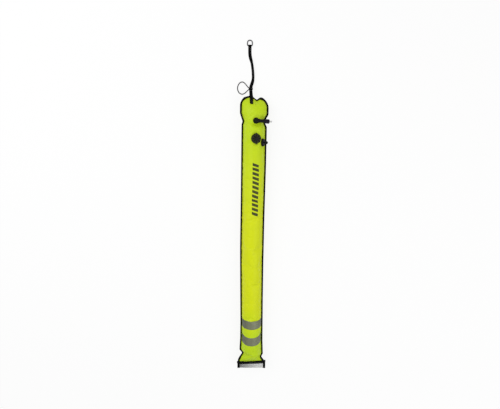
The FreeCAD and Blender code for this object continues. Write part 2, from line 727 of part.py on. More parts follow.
def dump_valve():
    """Welded flange with its diaphragm, vented cap and centre button of the round valve."""
    base = DUMP_FLANGE_THICK + CLEAR
    rim = DUMP_FLANGE_THICK / 2
    diaphragm_z = DUMP_FLANGE_THICK + DIAPHRAGM_RISE
    hub = DUMP_BUTTON_R + CLEAR + CAP_WALL + CLEAR
    flange = revolved([
        (0.0, 0.0), (DUMP_FLANGE_R, 0.0), (DUMP_FLANGE_R, rim), (DUMP_FLANGE_R - rim, DUMP_FLANGE_THICK),
        (DIAPHRAGM_R, DUMP_FLANGE_THICK), (DIAPHRAGM_R, diaphragm_z), (hub, diaphragm_z),
        (hub, DUMP_FLANGE_THICK), (0.0, DUMP_FLANGE_THICK),
    ])
    upper = Placement(Vector(0, 0, base), Rotation())
    pieces = {
        "dump_valve_flange": flange,
        "dump_valve_cap": placed(vented_cap(), upper),
        "dump_valve_button": placed(bevelled_disc(DUMP_BUTTON_R, DUMP_BUTTON_HEIGHT, BUTTON_BEVEL), upper),
    }
    place = fitting_place(DUMP_FROM_END, DUMP_TILT, DUMP_SINK, CLEAR)
    return {name: placed(shape, place) for name, shape in pieces.items()}


def side_valve():
    """Welded flange, cap, stem and pull knob of the side valve."""
    base = SIDE_FLANGE_THICK + CLEAR
    radius = SIDE_FLANGE_R - SIDE_RIM
    bore = SIDE_STEM_R + CLEAR
    cap = revolved([
        (bore, 0.0), (radius, 0.0), (radius, SIDE_CAP_SKIRT),
        (radius - SIDE_CAP_BEVEL, SIDE_CAP_HEIGHT), (bore, SIDE_CAP_HEIGHT),
    ])
    stem = Part.makeCylinder(SIDE_STEM_R, SIDE_KNOB_BASE - base)
    neck_z = SIDE_KNOB_BASE + SIDE_KNOB_NECK
    head_z = neck_z + SIDE_KNOB_R - SIDE_KNOB_NECK_R
    knob = revolved([
        (0.0, SIDE_KNOB_BASE), (SIDE_KNOB_NECK_R, SIDE_KNOB_BASE), (SIDE_KNOB_NECK_R, neck_z),
        (SIDE_KNOB_R, head_z), (SIDE_KNOB_R, SIDE_KNOB_END - SIDE_KNOB_BEVEL),
        (SIDE_KNOB_R - SIDE_KNOB_BEVEL, SIDE_KNOB_END), (0.0, SIDE_KNOB_END),
    ])
    upper = Placement(Vector(0, 0, base), Rotation())
    pieces = {
        "side_valve_flange": bevelled_disc(SIDE_FLANGE_R, SIDE_FLANGE_THICK, SIDE_FLANGE_THICK / 2),
        "side_valve_cap": placed(cap, upper),
        "side_valve_stem": placed(stem, upper),
        "side_valve_knob": knob,
    }
    place = fitting_place(SIDE_FROM_END, SIDE_TILT, SIDE_SINK, CLEAR)
    return {name: placed(shape, place) for name, shape in pieces.items()}


def sleeve_section(grow):
    """Teardrop section of the light stick sleeve in Y and Z, its tail at the seam."""
    tail = SLEEVE_TAIL / 2
    half = SLEEVE_HEIGHT / 2
    wire = rounded_wire([
        (0.0, tail, 0.0),
        (-SLEEVE_TAPER, half, SLEEVE_BLEND),
        (-SLEEVE_DEPTH, half, SLEEVE_ROUND),
        (-SLEEVE_DEPTH, -half, SLEEVE_ROUND),
        (-SLEEVE_TAPER, -half, SLEEVE_BLEND),
        (0.0, -tail, 0.0),
    ])
    return wire.makeOffset2D(grow) if grow else wire


def across_solid(wire, x_start, length):
    """Extrude a (Y, Z) section, drawn in the XY plane, along X from x_start."""
    solid = Part.Face(wire).extrude(Vector(0, 0, length))
    turned = Placement(Vector(x_start, -CLEAR, SEAM_HEIGHT),
                       Rotation(Vector(0, 1, 0), Vector(0, 0, 1), Vector(1, 0, 0), "ZXY"))
    solid.Placement = turned
    return solid


def sleeve():
    """Clear sleeve and the webbing cuffs round its two mouths."""
    length = 2 * SLEEVE_HALF
    outer = across_solid(sleeve_section(0.0), -SLEEVE_HALF, length)
    hollow = across_solid(sleeve_section(-SLEEVE_WALL), -SLEEVE_HALF, length)
    pieces = {"light_sleeve": outer.cut(hollow)}
    low = Vector(-2 * SLEEVE_HALF, -4 * SLEEVE_DEPTH - CLEAR, SEAM_HEIGHT - 2 * SLEEVE_HEIGHT)
    keep = Part.makeBox(4 * SLEEVE_HALF, 4 * SLEEVE_DEPTH, 4 * SLEEVE_HEIGHT, low)
    starts = {"sleeve_cuff_left": -SLEEVE_HALF, "sleeve_cuff_right": SLEEVE_HALF - CUFF_WIDTH}
    for name, x_start in starts.items():
        cuff = across_solid(sleeve_section(CLEAR + CUFF_THICK), x_start, CUFF_WIDTH)
        cuff = cuff.cut(across_solid(sleeve_section(CLEAR), x_start, CUFF_WIDTH))
        pieces[name] = cuff.common(keep)
    return pieces


def all_pieces():
    """Every sub-part by its name."""
    pieces = {"bag_front": bag_front(), "bag_back": bag_back()}
    pieces.update(bindings())
    for name, centre in BAND_CENTRES.items():
        pieces[name] = reflective_band(centre)
    pieces["strap_tab"] = strap_tab()
    pieces["pull_strap"] = pull_strap()
    pieces["strap_fold"] = strap_fold()
    pieces["strap_ring"] = strap_ring()
    pieces["strap_keeper"] = strap_keeper()
    pieces["line_loop"] = line_loop()
    pieces.update(inflator())
    pieces.update(dump_valve())
    pieces.update(side_valve())
    pieces.update(sleeve())
    return pieces


CORD_PIECES = ("pull_strap", "strap_fold", "strap_ring", "strap_keeper", "line_loop")

pieces = all_pieces()
box = FreeCAD.BoundBox()
for name, shape in pieces.items():
    if name not in CORD_PIECES:
        box.add(shape.optimalBoundingBox(True, False))
shift = Vector(-box.Center.x, -box.Center.y, -box.ZMin)
print(f"shift {shift.x:.4f} {shift.y:.4f} {shift.z:.4f}")

os.makedirs("parts", exist_ok=True)
for name, shape in pieces.items():
    shape.translate(shift)
    print(f"{name}: {len(shape.Solids)} solid, volume {shape.Volume:.1f}, valid {shape.isValid()}")
    shape.exportStep(f"parts/{name}.step")
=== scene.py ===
from math import cos, pi, radians, sin

import bpy
import numpy as np
from mathutils import Matrix, Vector


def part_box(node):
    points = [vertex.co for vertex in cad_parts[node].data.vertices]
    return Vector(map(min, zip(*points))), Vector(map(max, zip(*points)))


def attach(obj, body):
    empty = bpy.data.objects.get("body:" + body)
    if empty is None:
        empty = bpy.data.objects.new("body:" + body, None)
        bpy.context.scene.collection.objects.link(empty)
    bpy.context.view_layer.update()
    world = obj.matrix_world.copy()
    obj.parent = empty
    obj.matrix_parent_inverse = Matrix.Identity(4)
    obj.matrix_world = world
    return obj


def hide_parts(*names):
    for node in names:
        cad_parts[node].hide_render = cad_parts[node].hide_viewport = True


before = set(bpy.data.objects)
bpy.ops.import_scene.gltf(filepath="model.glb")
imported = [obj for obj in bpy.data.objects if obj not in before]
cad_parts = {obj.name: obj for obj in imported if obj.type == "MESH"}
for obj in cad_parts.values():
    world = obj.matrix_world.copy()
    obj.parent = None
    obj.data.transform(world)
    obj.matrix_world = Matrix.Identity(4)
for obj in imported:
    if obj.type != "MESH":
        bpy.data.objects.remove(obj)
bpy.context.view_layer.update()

# ---- Camera, floor and light --------------------------------------------------------
# The buoy lies face up on a plain pale floor.  The camera stands over it, a little past
# the strap end, and looks back along the tube.
scene = bpy.context.scene
scene.view_settings.view_transform = "Standard"

LOOK_AT = Vector((-0.0225, 0.1793, 0.052))
CAMERA_DISTANCE = 2.5
CAMERA_TILT = radians(10.3)      # from straight down, towards the strap end
CAMERA_ROLL = radians(0.7)
LENS_MM = 35.4

camera_data = bpy.data.cameras.new("camera")
camera_data.lens = LENS_MM
camera_data.sensor_width = 36.0
camera_data.clip_end = 50.0
camera = bpy.data.objects.new("camera", camera_data)
scene.collection.objects.link(camera)
away = Vector((0.0, sin(CAMERA_TILT), cos(CAMERA_TILT)))
turn = Matrix.Rotation(-CAMERA_TILT, 4, "X") @ Matrix.Rotation(CAMERA_ROLL, 4, "Z")
camera.matrix_world = Matrix.Translation(LOOK_AT + away * CAMERA_DISTANCE) @ turn
scene.camera = camera


def new_material(name):
    """Material with a bare node tree: returns it, its tree and its Principled shader."""
    material = bpy.data.materials.new(name)
    material.use_nodes = True
    tree = material.node_tree
    return material, tree, tree.nodes["Principled BSDF"]


def connect(tree, node, inputs):
    """Each input of a node, by its name or number: a socket is linked, a value is set."""
    for key, value in inputs.items():
        if isinstance(value, bpy.types.NodeSocket):
            tree.links.new(value, node.inputs[key])
        else:
            node.inputs[key].default_value = value


def add_node(tree, kind, output, inputs=None, **settings):
    """Shader node of a kind, its settings made before its inputs: returns one output."""
    node = tree.nodes.new("ShaderNode" + kind)
    for key, value in settings.items():
        setattr(node, key, value)
    connect(tree, node, inputs or {})
    return node.outputs[output]


def maths(tree, operation, *values):
    """Math node of one operation, its inputs sockets or numbers: returns its output."""
    return add_node(tree, "Math", 0, dict(enumerate(values)), operation=operation)


def add_object(name, data):
    """Object at the origin that shows the data."""
    piece = bpy.data.objects.new(name, data)
    scene.collection.objects.link(piece)
    return piece


FLOOR_HALF = 6.0
FLOOR_GLOW = 0.86                    # how much of the floor seen directly is plain white

floor_mesh = bpy.data.meshes.new("floor")
floor_corners = [(x * FLOOR_HALF, y * FLOOR_HALF, 0) for x, y in ((-1, -1), (1, -1), (1, 1), (-1, 1))]
floor_mesh.from_pydata(floor_corners, [], [(0, 1, 2, 3)])
floor = add_object("floor", floor_mesh)
floor_finish, tree, shader = new_material("floor_paper")
connect(tree, shader, {"Base Color": (0.9, 0.9, 0.9, 1), "Roughness": 0.9})
rays = tree.nodes.new("ShaderNodeLightPath").outputs
shown = maths(tree, "MAXIMUM", rays["Is Camera Ray"], rays["Is Glossy Ray"])
shown = maths(tree, "MAXIMUM", shown, rays["Is Transmission Ray"])
white = add_node(tree, "Emission", 0)
seen = add_node(tree, "MixShader", 0,
                {"Fac": maths(tree, "MULTIPLY", shown, FLOOR_GLOW), 1: shader.outputs[0], 2: white})
connect(tree, tree.nodes["Material Output"], {"Surface": seen})
floor_mesh.materials.append(floor_finish)

WORLD_LIGHT = 0.55                   # of the sky on the buoy; seen directly it is white

world = bpy.data.worlds.new("studio")
world.use_nodes = True
tree = world.node_tree
camera_ray = add_node(tree, "LightPath", "Is Camera Ray")
brightness = maths(tree, "MULTIPLY_ADD", camera_ray, 1.0 - WORLD_LIGHT, WORLD_LIGHT)
connect(tree, tree.nodes["Background"], {"Color": (1.0, 1.0, 1.0, 1), "Strength": brightness})
scene.world = world

LAMP_SIZE = 2.4


def soft_lamp(name, place, aim, power):
    """Square lamp at a place, turned to face the point it is aimed at."""
    data = bpy.data.lights.new(name, "AREA")
    data.size = LAMP_SIZE
    data.energy = power
    lamp = add_object(name, data)
    lamp.rotation_euler = (Vector(aim) - Vector(place)).to_track_quat("-Z", "Y").to_euler()
    lamp.location = place


soft_lamp("key_lamp", (-1.6, 1.2, 2.6), (0.0, 0.1, 0.0), 46.0)
soft_lamp("fill_lamp", (1.9, -0.6, 2.4), (0.0, 0.0, 0.0), 26.0)

# ---- Pull strap ---------------------------------------------------------------------
# Black 15 mm polyester webbing, woven flat.  It is sewn on the bag's head, comes down
# off the seam with a slight twist, and lies loose along the floor to the ring.
SEAM_LOW, SEAM_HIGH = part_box("binding_head")
AXIS_X = (SEAM_LOW.x + SEAM_HIGH.x) / 2
HEAD_Y = SEAM_HIGH.y
SEAM_Z = (SEAM_LOW.z + SEAM_HIGH.z) / 2
STRAP_WIDTH = 0.015
STRAP_THICK = 0.0019
SELVAGE = 0.0014                     # that both woven edges add to the width
LIFT_OFF = 0.0003                    # of the webbing's lowest edge over the floor


def from_seam(points):
    """Route points given from the middle of the head seam on the floor, in the row frame."""
    return [(AXIS_X + x, HEAD_Y + y, z) for x, y, z in points]


STRAP_POINTS = from_seam([
    (-0.0150, 0.0020, 0.0537),
    (-0.0158, 0.0160, 0.0537),
    (-0.0178, 0.0320, 0.0455),
    (-0.0175, 0.0520, 0.0260),
    (-0.0110, 0.0710, 0.0110),
    (-0.0065, 0.0900, 0.0066),
    (-0.0070, 0.1130, 0.0060),
    (-0.0098, 0.1430, 0.0062),
    (-0.0150, 0.1730, 0.0064),
    (-0.0240, 0.2000, 0.0020),
    (-0.0245, 0.2230, 0.0013),
])

# How far the webbing leans over on its own line: distance along it, and degrees.
STRAP_TWIST = [(0.0, 0), (0.020, 0), (0.060, 4), (0.082, 12), (0.105, 38), (0.150, 41), (0.182, 43),
               (0.214, 8), (0.230, 0), (0.300, 0)]


def spline_path(points, resolution=16):
    """The smooth line that the points control: an open NURBS spline of order 3, as an array."""
    curve = bpy.data.curves.new("route", "CURVE")
    curve.dimensions = "3D"
    spline = curve.splines.new("NURBS")
    spline.points.add(len(points) - 1)
    spline.points.foreach_set("co", np.c_[np.array(points), np.ones(len(points))].ravel())
    spline.order_u = 3
    spline.use_endpoint_u = True
    spline.resolution_u = resolution
    holder = bpy.data.objects.new("route", curve)
    mesh = bpy.data.meshes.new_from_object(holder)
    line = np.zeros(len(mesh.vertices) * 3)
    mesh.vertices.foreach_get("co", line)
    bpy.data.objects.remove(holder)
    bpy.data.curves.remove(curve)
    bpy.data.meshes.remove(mesh)
    return line.reshape(-1, 3)


def evenly(line, step):
    """The line again, at points about one step apart along it, with their distances along it."""
    along = np.r_[0, np.cumsum(np.linalg.norm(np.diff(line, axis=0), axis=1))]
    at = np.linspace(0, along[-1], max(2, int(along[-1] / step) + 1))
    return np.stack([np.interp(at, along, line[:, axis]) for axis in range(3)], 1), at


def unit(vectors):
    """Each vector over its own length."""
    return vectors / np.linalg.norm(vectors, axis=-1, keepdims=True)


def directions(line):
    """The line's unit tangent at each of its points."""
    return unit(np.gradient(line, axis=0))


def shown_mesh(vertices, faces):
    """Smooth mesh of vertices and faces."""
    mesh = bpy.data.meshes.new("surface")
    mesh.from_pydata(vertices.tolist(), [], faces)
    mesh.polygons.foreach_set("use_smooth", np.ones(len(mesh.polygons), bool))
    return mesh


def quads_of(index):
    """One quad between each four neighbours of a grid of vertex numbers."""
    return np.stack([index[:-1, :-1], index[:-1, 1:], index[1:, 1:], index[1:, :-1]], -1).reshape(-1, 4)


def grid_mesh(points, around=False, along=False, caps=False, uv=None):
    """Mesh of a grid of points [rows, columns, 3]: one quad between each four neighbours.

    around joins the last column to the first, along the last row to the first, and caps
    closes both ends with a fan to their middle.  uv, in metres, is kept as the UV map."""
    rows, columns = points.shape[:2]
    index = np.arange(rows * columns).reshape(rows, columns)
    if around:
        index = np.c_[index, index[:, :1]]
    if along:
        index = np.r_[index, index[:1]]
    vertices = points.reshape(-1, 3)
    faces = quads_of(index).tolist()
    if caps:
        middle = rows * columns
        vertices = np.r_[vertices, points[0].mean(0)[None], points[-1].mean(0)[None]]
        first, last = index[0], index[-1]
        faces += [[middle, b, a] for a, b in zip(first[:-1], first[1:])]
        faces += [[middle + 1, a, b] for a, b in zip(last[:-1], last[1:])]
    mesh = shown_mesh(vertices, faces)
    if uv is not None:
        quads = quads_of(np.arange(uv.shape[0] * uv.shape[1]).reshape(uv.shape[:2]))
        filled = np.zeros((len(mesh.loops), 2))
        filled[:quads.size] = uv.reshape(-1, 2)[quads.ravel()]
        mesh.uv_layers.new(name="UVMap").data.foreach_set("uv", filled.ravel())
    return mesh


def uv_grid(u, v):
    """UV map of a grid from its distances down the rows and along the columns, in metres."""
    return np.stack(np.broadcast_arrays(u, v), -1)


def carried(line, across, up, profile):
    """A closed profile of (side, lift) points set at each point of a line, on its two axes."""
    side = profile[None, :, 0:1] * across[:, None]
    lift = profile[None, :, 1:2] * up[:, None]
    return line[:, None] + side + lift


def lozenge(width, thick, count=6):
    """Tape's section: flat faces and fully rounded edges, as (side, lift) points."""
    angle = np.linspace(-pi / 2, pi / 2, count)
    right = np.c_[width / 2 - thick / 2 + thick / 2 * np.cos(angle), thick / 2 * np.sin(angle)]
    ridge = np.linspace(width / 2 - thick / 2, -width / 2 + thick / 2, 9)[1:-1]
    top = np.c_[ridge, np.full(7, thick / 2)]
    return np.r_[right, top, -right, -top]


def girth(profile):
    """Distance along a closed profile to each of its points, and round to the first."""
    step = np.linalg.norm(np.roll(profile, -1, axis=0) - profile, axis=1)
    return np.r_[0, np.cumsum(step)]


def ramp(tree, factor, *stops):
    """Colours blended between (place, colour) stops by a factor."""
    node = tree.nodes.new("ShaderNodeValToRGB")
    elements = node.color_ramp.elements
    for element, (place, colour) in zip(elements, (stops[0], stops[-1])):
        element.position, element.color = place, colour
    for place, colour in stops[1:-1]:
        elements.new(place).color = colour
    tree.links.new(factor, node.inputs["Fac"])
    return node.outputs["Color"]


def bump(tree, height, strength, distance, under=None):
    """The surface's direction, bent by a height, over another bump if one is given."""
    inputs = {"Height": height, "Strength": strength, "Distance": distance}
    if under is not None:
        inputs["Normal"] = under
    return add_node(tree, "Bump", "Normal", inputs)


def uv_of(tree):
    """The piece's own UV map, in metres."""
    return add_node(tree, "UVMap", "UV", uv_map="UVMap")


def noise(tree, place, scale, detail=2.0):
    """Noise of a scale and detail over a place."""
    return add_node(tree, "TexNoise", "Fac", {"Vector": place, "Scale": scale, "Detail": detail})


def tinted(colour, share):
    """A colour with each of its parts times a share."""
    return (*(part * share for part in colour), 1)


def webbing_finish(name, colour, pitch):
    """Woven tape: a twill of warp ribs over fine weft, ribs * weft, dusted a little."""
    material, tree, shader = new_material(name)
    uv = uv_of(tree)
    ribs = add_node(tree, "TexWave", "Fac", {"Vector": uv, "Scale": 0.32 / pitch, "Distortion": 0.6},
                    bands_direction="DIAGONAL")
    weft = add_node(tree, "TexWave", "Fac", {"Vector": uv, "Scale": 0.5 / pitch})
    weave = maths(tree, "MULTIPLY", ribs, weft)
    dust = maths(tree, "MULTIPLY", add_node(tree, "TexNoise", "Fac", {"Scale": 90.0}), 0.5)
    tone = ramp(tree, maths(tree, "MULTIPLY_ADD", weave, 0.5, dust), (0.0, tinted(colour, 0.55)),
                (1.0, tinted(colour, 1.7)))
    connect(tree, shader, {"Base Color": tone, "Normal": bump(tree, weave, 0.6, 0.0003),
                           "Roughness": 0.75, "Specular IOR Level": 0.04})
    return material


def made(name, mesh, finish, node=None):
    """Piece that shows a mesh in one finish, rides on the body, and stands for a node."""
    mesh.name = name
    mesh.materials.append(finish)
    piece = add_object(name, mesh)
    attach(piece, "root")
    if node:
        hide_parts(node)
    return piece


UP = np.array([0.0, 0.0, 1.0])
webbing = webbing_finish("webbing_weave", (0.0030, 0.0030, 0.0033), 0.0011)

strap_line, strap_along = evenly(spline_path(STRAP_POINTS), 0.0015)
strap_ahead = directions(strap_line)
level = unit(np.cross(strap_ahead, UP))
raised = np.cross(level, strap_ahead)
twist = np.radians(np.interp(strap_along, *np.array(STRAP_TWIST).T))
strap_across = level * np.cos(twist)[:, None] + raised * np.sin(twist)[:, None]
strap_up = np.cross(strap_across, strap_ahead)
strap_profile = lozenge(STRAP_WIDTH + SELVAGE, STRAP_THICK)
strap_grid = carried(strap_line, strap_across, strap_up, strap_profile)
strap_grid[..., 2] = np.maximum(strap_grid[..., 2], LIFT_OFF)
strap_uv = uv_grid(strap_along[:, None], girth(strap_profile)[None])
pull_strap = made("webbing_pull_strap", grid_mesh(strap_grid, around=True, caps=True, uv=strap_uv),
                  webbing, "pull_strap")

# ---- Line loop ----------------------------------------------------------------------
# Four millimetre braided line, grey with a darker fleck.  Both its ends are caught in
# the keeper on the strap, and the loop drops to the floor beside the strap.
LINE_DIAMETER = 0.004
BRAID_PITCH = 0.0045
BRAID_SWELL = 0.04                   # of each strand, as a share of the line's radius
BRAID_LOOSE = 1.20                   # how far slack strands stand beyond the line's own size
LINE_POINTS = from_seam([
    (-0.0272, 0.0453, 0.0320),
    (-0.0370, 0.0560, 0.0275),
    (-0.0470, 0.0690, 0.0155),
    (-0.0580, 0.0770, 0.0055),
    (-0.0710, 0.0740, 0.0030),
    (-0.0820, 0.0600, 0.0029),
    (-0.0845, 0.0400, 0.0029),
    (-0.0760, 0.0220, 0.0029),
    (-0.0610, 0.0155, 0.0040),
    (-0.0485, 0.0200, 0.0125),
    (-0.0388, 0.0280, 0.0275),
    (-0.0272, 0.0385, 0.0395),
])

line_line, line_along = evenly(spline_path(LINE_POINTS), 0.0008)
line_ahead = directions(line_line)
line_across = unit(np.cross(line_ahead, UP))
line_up = np.cross(line_across, line_ahead)
spin = np.linspace(0, 2 * pi, 16, endpoint=False)
advance = 2 * pi * line_along[:, None] / BRAID_PITCH
strands = np.cos(4 * spin + advance) + np.cos(4 * spin - advance)
swell = LINE_DIAMETER / 2 * (BRAID_LOOSE + BRAID_SWELL * strands)
line_grid = line_line[:, None] + (line_across[:, None] * np.cos(spin)[None, :, None]
                                  + line_up[:, None] * np.sin(spin)[None, :, None]) * swell[..., None]
line_uv = uv_grid(line_along[:, None], LINE_DIAMETER / 2 * np.linspace(0, 2 * pi, 17)[None])

line_finish, tree, shader = new_material("line_braid")
flecks = noise(tree, uv_of(tree), 130.0, 3.0)
tone = ramp(tree, flecks, (0.40, (0.010, 0.010, 0.011, 1)), (0.56, (0.055, 0.055, 0.055, 1)))
connect(tree, shader, {"Base Color": tone, "Roughness": 0.65, "Specular IOR Level": 0.2})
line_loop = made("braided_line_loop", grid_mesh(line_grid, around=True, caps=True, uv=line_uv),
                 line_finish, "line_loop")

# ---- Bag ----------------------------------------------------------------------------
# Two panels of yellow-green coated nylon, cut to one outline and welded together along a
# flat seam, blown up until they are round.  The valves' stiff flanges hold flat seats.
FAR_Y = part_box("binding_end")[0].y
SEAM_WIDTH = 0.0105                  # of the flat seam, which the binding covers
TUBE_R = 0.052

# Corners of the outline's two sides: distance out from the middle, distance from the far end
# or, when negative, from the head, and radius.
RIGHT_CORNERS = [
    (0.0785, 0.0, 0.005), (0.0560, 0.0320, 0.005), (0.0642, 0.0485, 0.010), (0.0610, 0.125, 0.300),
    (0.0590, 0.360, 1.5), (0.0585, 0.560, 1.5), (0.0598, 0.800, 1.5), (0.0635, -0.330, 1.0),
    (0.0640, -0.142, 0.016), (0.0515, -0.1165, 0.009), (0.0712, -0.083, 0.020), (0.0712, -0.0, 0.051)]
LEFT_CORNERS = [
    (0.0722, 0.0, 0.005), (0.0692, 0.0180, 0.011), (0.0470, 0.0530, 0.005), (0.0618, 0.0705, 0.010),
    (0.0585, 0.140, 0.300), (0.0580, 0.235, 1.0), (0.0612, 0.460, 1.5), (0.0632, 0.640, 1.5),
    (0.0620, 0.880, 1.5), (0.0612, -0.132, 0.018), (0.0565, -0.1160, 0.010), (0.0698, -0.076, 0.022),
    (0.0698, -0.0, 0.039)]

# Height of each panel over the seam: distance from an end, as above, and height.
PANEL_HEIGHTS = [(0.0108, 0.0), (0.0145, 0.0095), (0.021, 0.0205), (0.042, 0.0365), (0.074, 0.0475),
                 (0.112, TUBE_R), (-0.165, TUBE_R), (-0.1305, 0.0475), (-0.117, 0.0405), (-0.100, 0.0385),
                 (-0.068, 0.038), (-0.034, 0.0265), (-0.0215, 0.0165), (-0.0145, 0.0090), (-0.0108, 0.0)]


def from_an_end(distance):
    """Y of a distance from the far end or, when negative, from the head."""
    return np.where(np.signbit(distance), HEAD_Y, FAR_Y) + distance


def outward_of(line):
    """Unit normals in plan, on the right hand of a level line's direction."""
    ahead = directions(line)
    return np.c_[ahead[:, 1], -ahead[:, 0]]


def smooth_step(share):
    """3 s^2 - 2 s^3 of a share held between 0 and 1."""
    share = np.clip(share, 0, 1)
    return share * share * (3 - 2 * share)


def smooth_through(knots, at):
    """Cubic through (place, value) knots; each slope is the mean of the two beside it, weighted
    by length, and flat at the two ends and at a high or low knot."""
    place, value = np.array(knots, float).T
    gap = np.diff(place)
    rise = np.diff(value) / gap
    slope = np.zeros(len(place))
    mean = (rise[:-1] * gap[1:] + rise[1:] * gap[:-1]) / (gap[1:] + gap[:-1])
    slope[1:-1] = np.where(rise[:-1] * rise[1:] > 0, mean, 0)
    cell = np.clip(np.searchsorted(place, at) - 1, 0, len(gap) - 1)
    share = np.clip((at - place[cell]) / gap[cell], 0, 1)
    ease = smooth_step(share)
    leave = gap[cell] * slope[cell] * share * (1 - share) ** 2
    reach = gap[cell] * slope[cell + 1] * share ** 2 * (1 - share)
    return value[cell] * (1 - ease) + value[cell + 1] * ease + leave - reach


def rounded_path(corners, step):
    """Line from the first corner to the last, its corners rounded, with outward unit normals.

    A corner of half angle a and radius r has its arc's centre r / sin a along its bisector,
    and the arc swings from one foot of that centre to the other."""
    line = [np.array(corners[0][:2])]
    share = np.linspace(0, 1, 16)[:, None]
    for before, corner, after in zip(corners, corners[1:], corners[2:]):
        here, radius = np.array(corner[:2]), corner[2]
        back, ahead = unit(np.array(before[:2]) - here), unit(np.array(after[:2]) - here)
        half = np.arccos(np.clip(back @ ahead, -1, 1)) / 2
        centre = here + unit(back + ahead) * radius / sin(half)
        feet = here + np.array([back, ahead]) * radius / np.tan(half) - centre
        turn = pi - 2 * half
        swing = feet[0] * np.sin((1 - share) * turn) + feet[1] * np.sin(share * turn)
        line.extend(centre + swing / sin(turn))
    line.append(np.array(corners[-1][:2]))
    even, along = evenly(np.c_[np.array(line), np.zeros(len(line))], step)
    return even[:, :2], outward_of(even), along


def outline(end_round, step=0.002):
    """Path round the whole bag: out along the far end, up the right side, down the left."""
    right = [(AXIS_X + out, float(from_an_end(y)), radius) for out, y, radius in RIGHT_CORNERS]
    left = [(AXIS_X - out, float(from_an_end(y)), radius) for out, y, radius in reversed(LEFT_CORNERS)]
    right[0] = (*right[0][:2], end_round)
    left[-1] = (*left[-1][:2], end_round)
    start = [(AXIS_X, FAR_Y, 0.0)]
    return rounded_path(start + right + left + start, step)


def side_edges(inward, at):
    """X of the outline's left and right sides at each Y, drawn in by a distance."""
    line, outward, _ = outline(SEAM_WIDTH + 0.001)
    drawn_in = line - outward * inward
    top = len(line) // 2
    sides = drawn_in[top:][::-1], drawn_in[:top]
    return tuple(np.interp(at, np.maximum.accumulate(side[:, 1]), side[:, 0]) for side in sides)


# The head's edge dips beside the strap and rises under it, and the far end is sewn on a
# little further out and askew: place across, width and height of each swell of the head's
# edge, and distances from the far end with each shift outward and each half slant.
HEAD_SWELLS = [(0.012, 0.011, -0.0100), (-0.022, 0.018, 0.0080), (-0.052, 0.013, 0.0055),
               (0.040, 0.016, 0.0035)]
HEAD_FADE = 0.030
END_SHIFT = [(-0.034, 0.0), (-0.008, 0.0048), (0.004, 0.0048), (0.030, 0.0), (0.110, 0.0)]
END_SLANT = [(-0.034, 0.0005), (-0.006, 0.0045), (0.004, 0.0050), (0.030, 0.0), (0.110, 0.0)]
END_HALF = 0.074


def uneven(points):
    """Points moved along Y by the head's swells, height * exp(-((x - place) / width)^2) and
    less away from the head, and by the far end's shift and slant."""
    x = points[..., 0] - AXIS_X
    from_head, from_end = points[..., 1] - HEAD_Y, points[..., 1] - FAR_Y
    swells = sum(height * np.exp(-((x - place) / width) ** 2) for place, width, height in HEAD_SWELLS)
    near = np.exp(-(np.minimum(from_head, 0) / HEAD_FADE) ** 2)
    slant = smooth_through(END_SLANT, from_end) * x / END_HALF
    moved = points.copy()
    moved[..., 1] += near * swells + slant - smooth_through(END_SHIFT, from_end)
    return moved


SEAT_GAP = 0.0004                    # under each flange
SEAT_RIM = 0.0015                    # of flat fabric beyond each flange's edge
SEAT_BLEND = 0.016                   # of the fabric's slope round that
SEAT_DEPTH = 0.03                    # below which the fabric is the back's and isn't drawn


def flange_seat(node, radius, tilt):
    """Centre under a flange, the way it faces, and its radius; a disc's lowest corner is its
    radius times the cosine and sine of its tilt away from its centre."""
    low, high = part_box(node)
    facing = np.array([sin(tilt), 0.0, cos(tilt)])
    centre = np.array([low.x + radius * cos(tilt), (low.y + high.y) / 2, low.z + radius * sin(tilt)])
    return centre - facing * SEAT_GAP, facing, radius


SEATS = [
    flange_seat("inflator_flange", 0.0150, radians(15)),
    flange_seat("dump_valve_flange", 0.0245, radians(13)),
    flange_seat("side_valve_flange", 0.0195, radians(62)),
]


def seated(points, from_edge):
    """Points drawn to each flange's plane, and which of them are held there.

    Height over the plane is kept by smooth_step(distance beyond the rim / blend), and less is
    drawn within a blend of the seam."""
    held = np.zeros(points.shape[:-1], bool)
    for centre, facing, radius in SEATS:
        offset = points - centre
        height = offset @ facing
        out = np.linalg.norm(offset - height[..., None] * facing, axis=-1) - radius - SEAT_RIM
        drawn = (1 - smooth_step(out / SEAT_BLEND)) * smooth_step(from_edge / 0.010)
        drawn = np.where(height > -SEAT_DEPTH, drawn, 0)
        points = points - (height * drawn)[..., None] * facing
        held |= (out < 0.0005) & (height > -SEAT_DEPTH)
    return points, held


FLOOR_CLEAR = 0.0004
PANEL_COLUMNS = 29
PANEL_STEP = 0.006
PANEL_IN = SEAM_WIDTH + 0.0003       # of a panel's round part, from the two ends
PANEL_SIDE_IN = SEAM_WIDTH - 0.0005  # and from the outline's sides
SELVAGE_WIDTH = 0.0090               # of the flat part that lies inside the binding
SELVAGE_IN = 0.0015                  # of its edge, from the outline's sides
SELVAGE_END_IN = 0.0018              # and from its two ends
SELVAGE_LIFT = 0.0003                # of each panel's flat part, from the seam

rows = int((HEAD_Y - FAR_Y - 2 * PANEL_IN) / PANEL_STEP)
panel_y = np.linspace(FAR_Y + PANEL_IN, HEAD_Y - PANEL_IN, rows)
panel_left, panel_right = side_edges(PANEL_SIDE_IN, panel_y)
panel_height = smooth_through([(float(from_an_end(y)), height) for y, height in PANEL_HEIGHTS], panel_y)
panel_angle = np.linspace(-pi / 2, pi / 2, PANEL_COLUMNS)
panel_middle = (panel_left + panel_right) / 2
panel_half = (panel_right - panel_left) / 2


def panel_grid(side):
    """One panel: X = middle + half width sin a, Z = seam + height cos a, for each angle a."""
    x = panel_middle[:, None] + panel_half[:, None] * np.sin(panel_angle)[None]
    z = SEAM_Z + side * panel_height[:, None] * np.cos(panel_angle)[None]
    y = np.broadcast_to(panel_y[:, None], x.shape)
    return uneven(np.stack([x, y, z], -1))


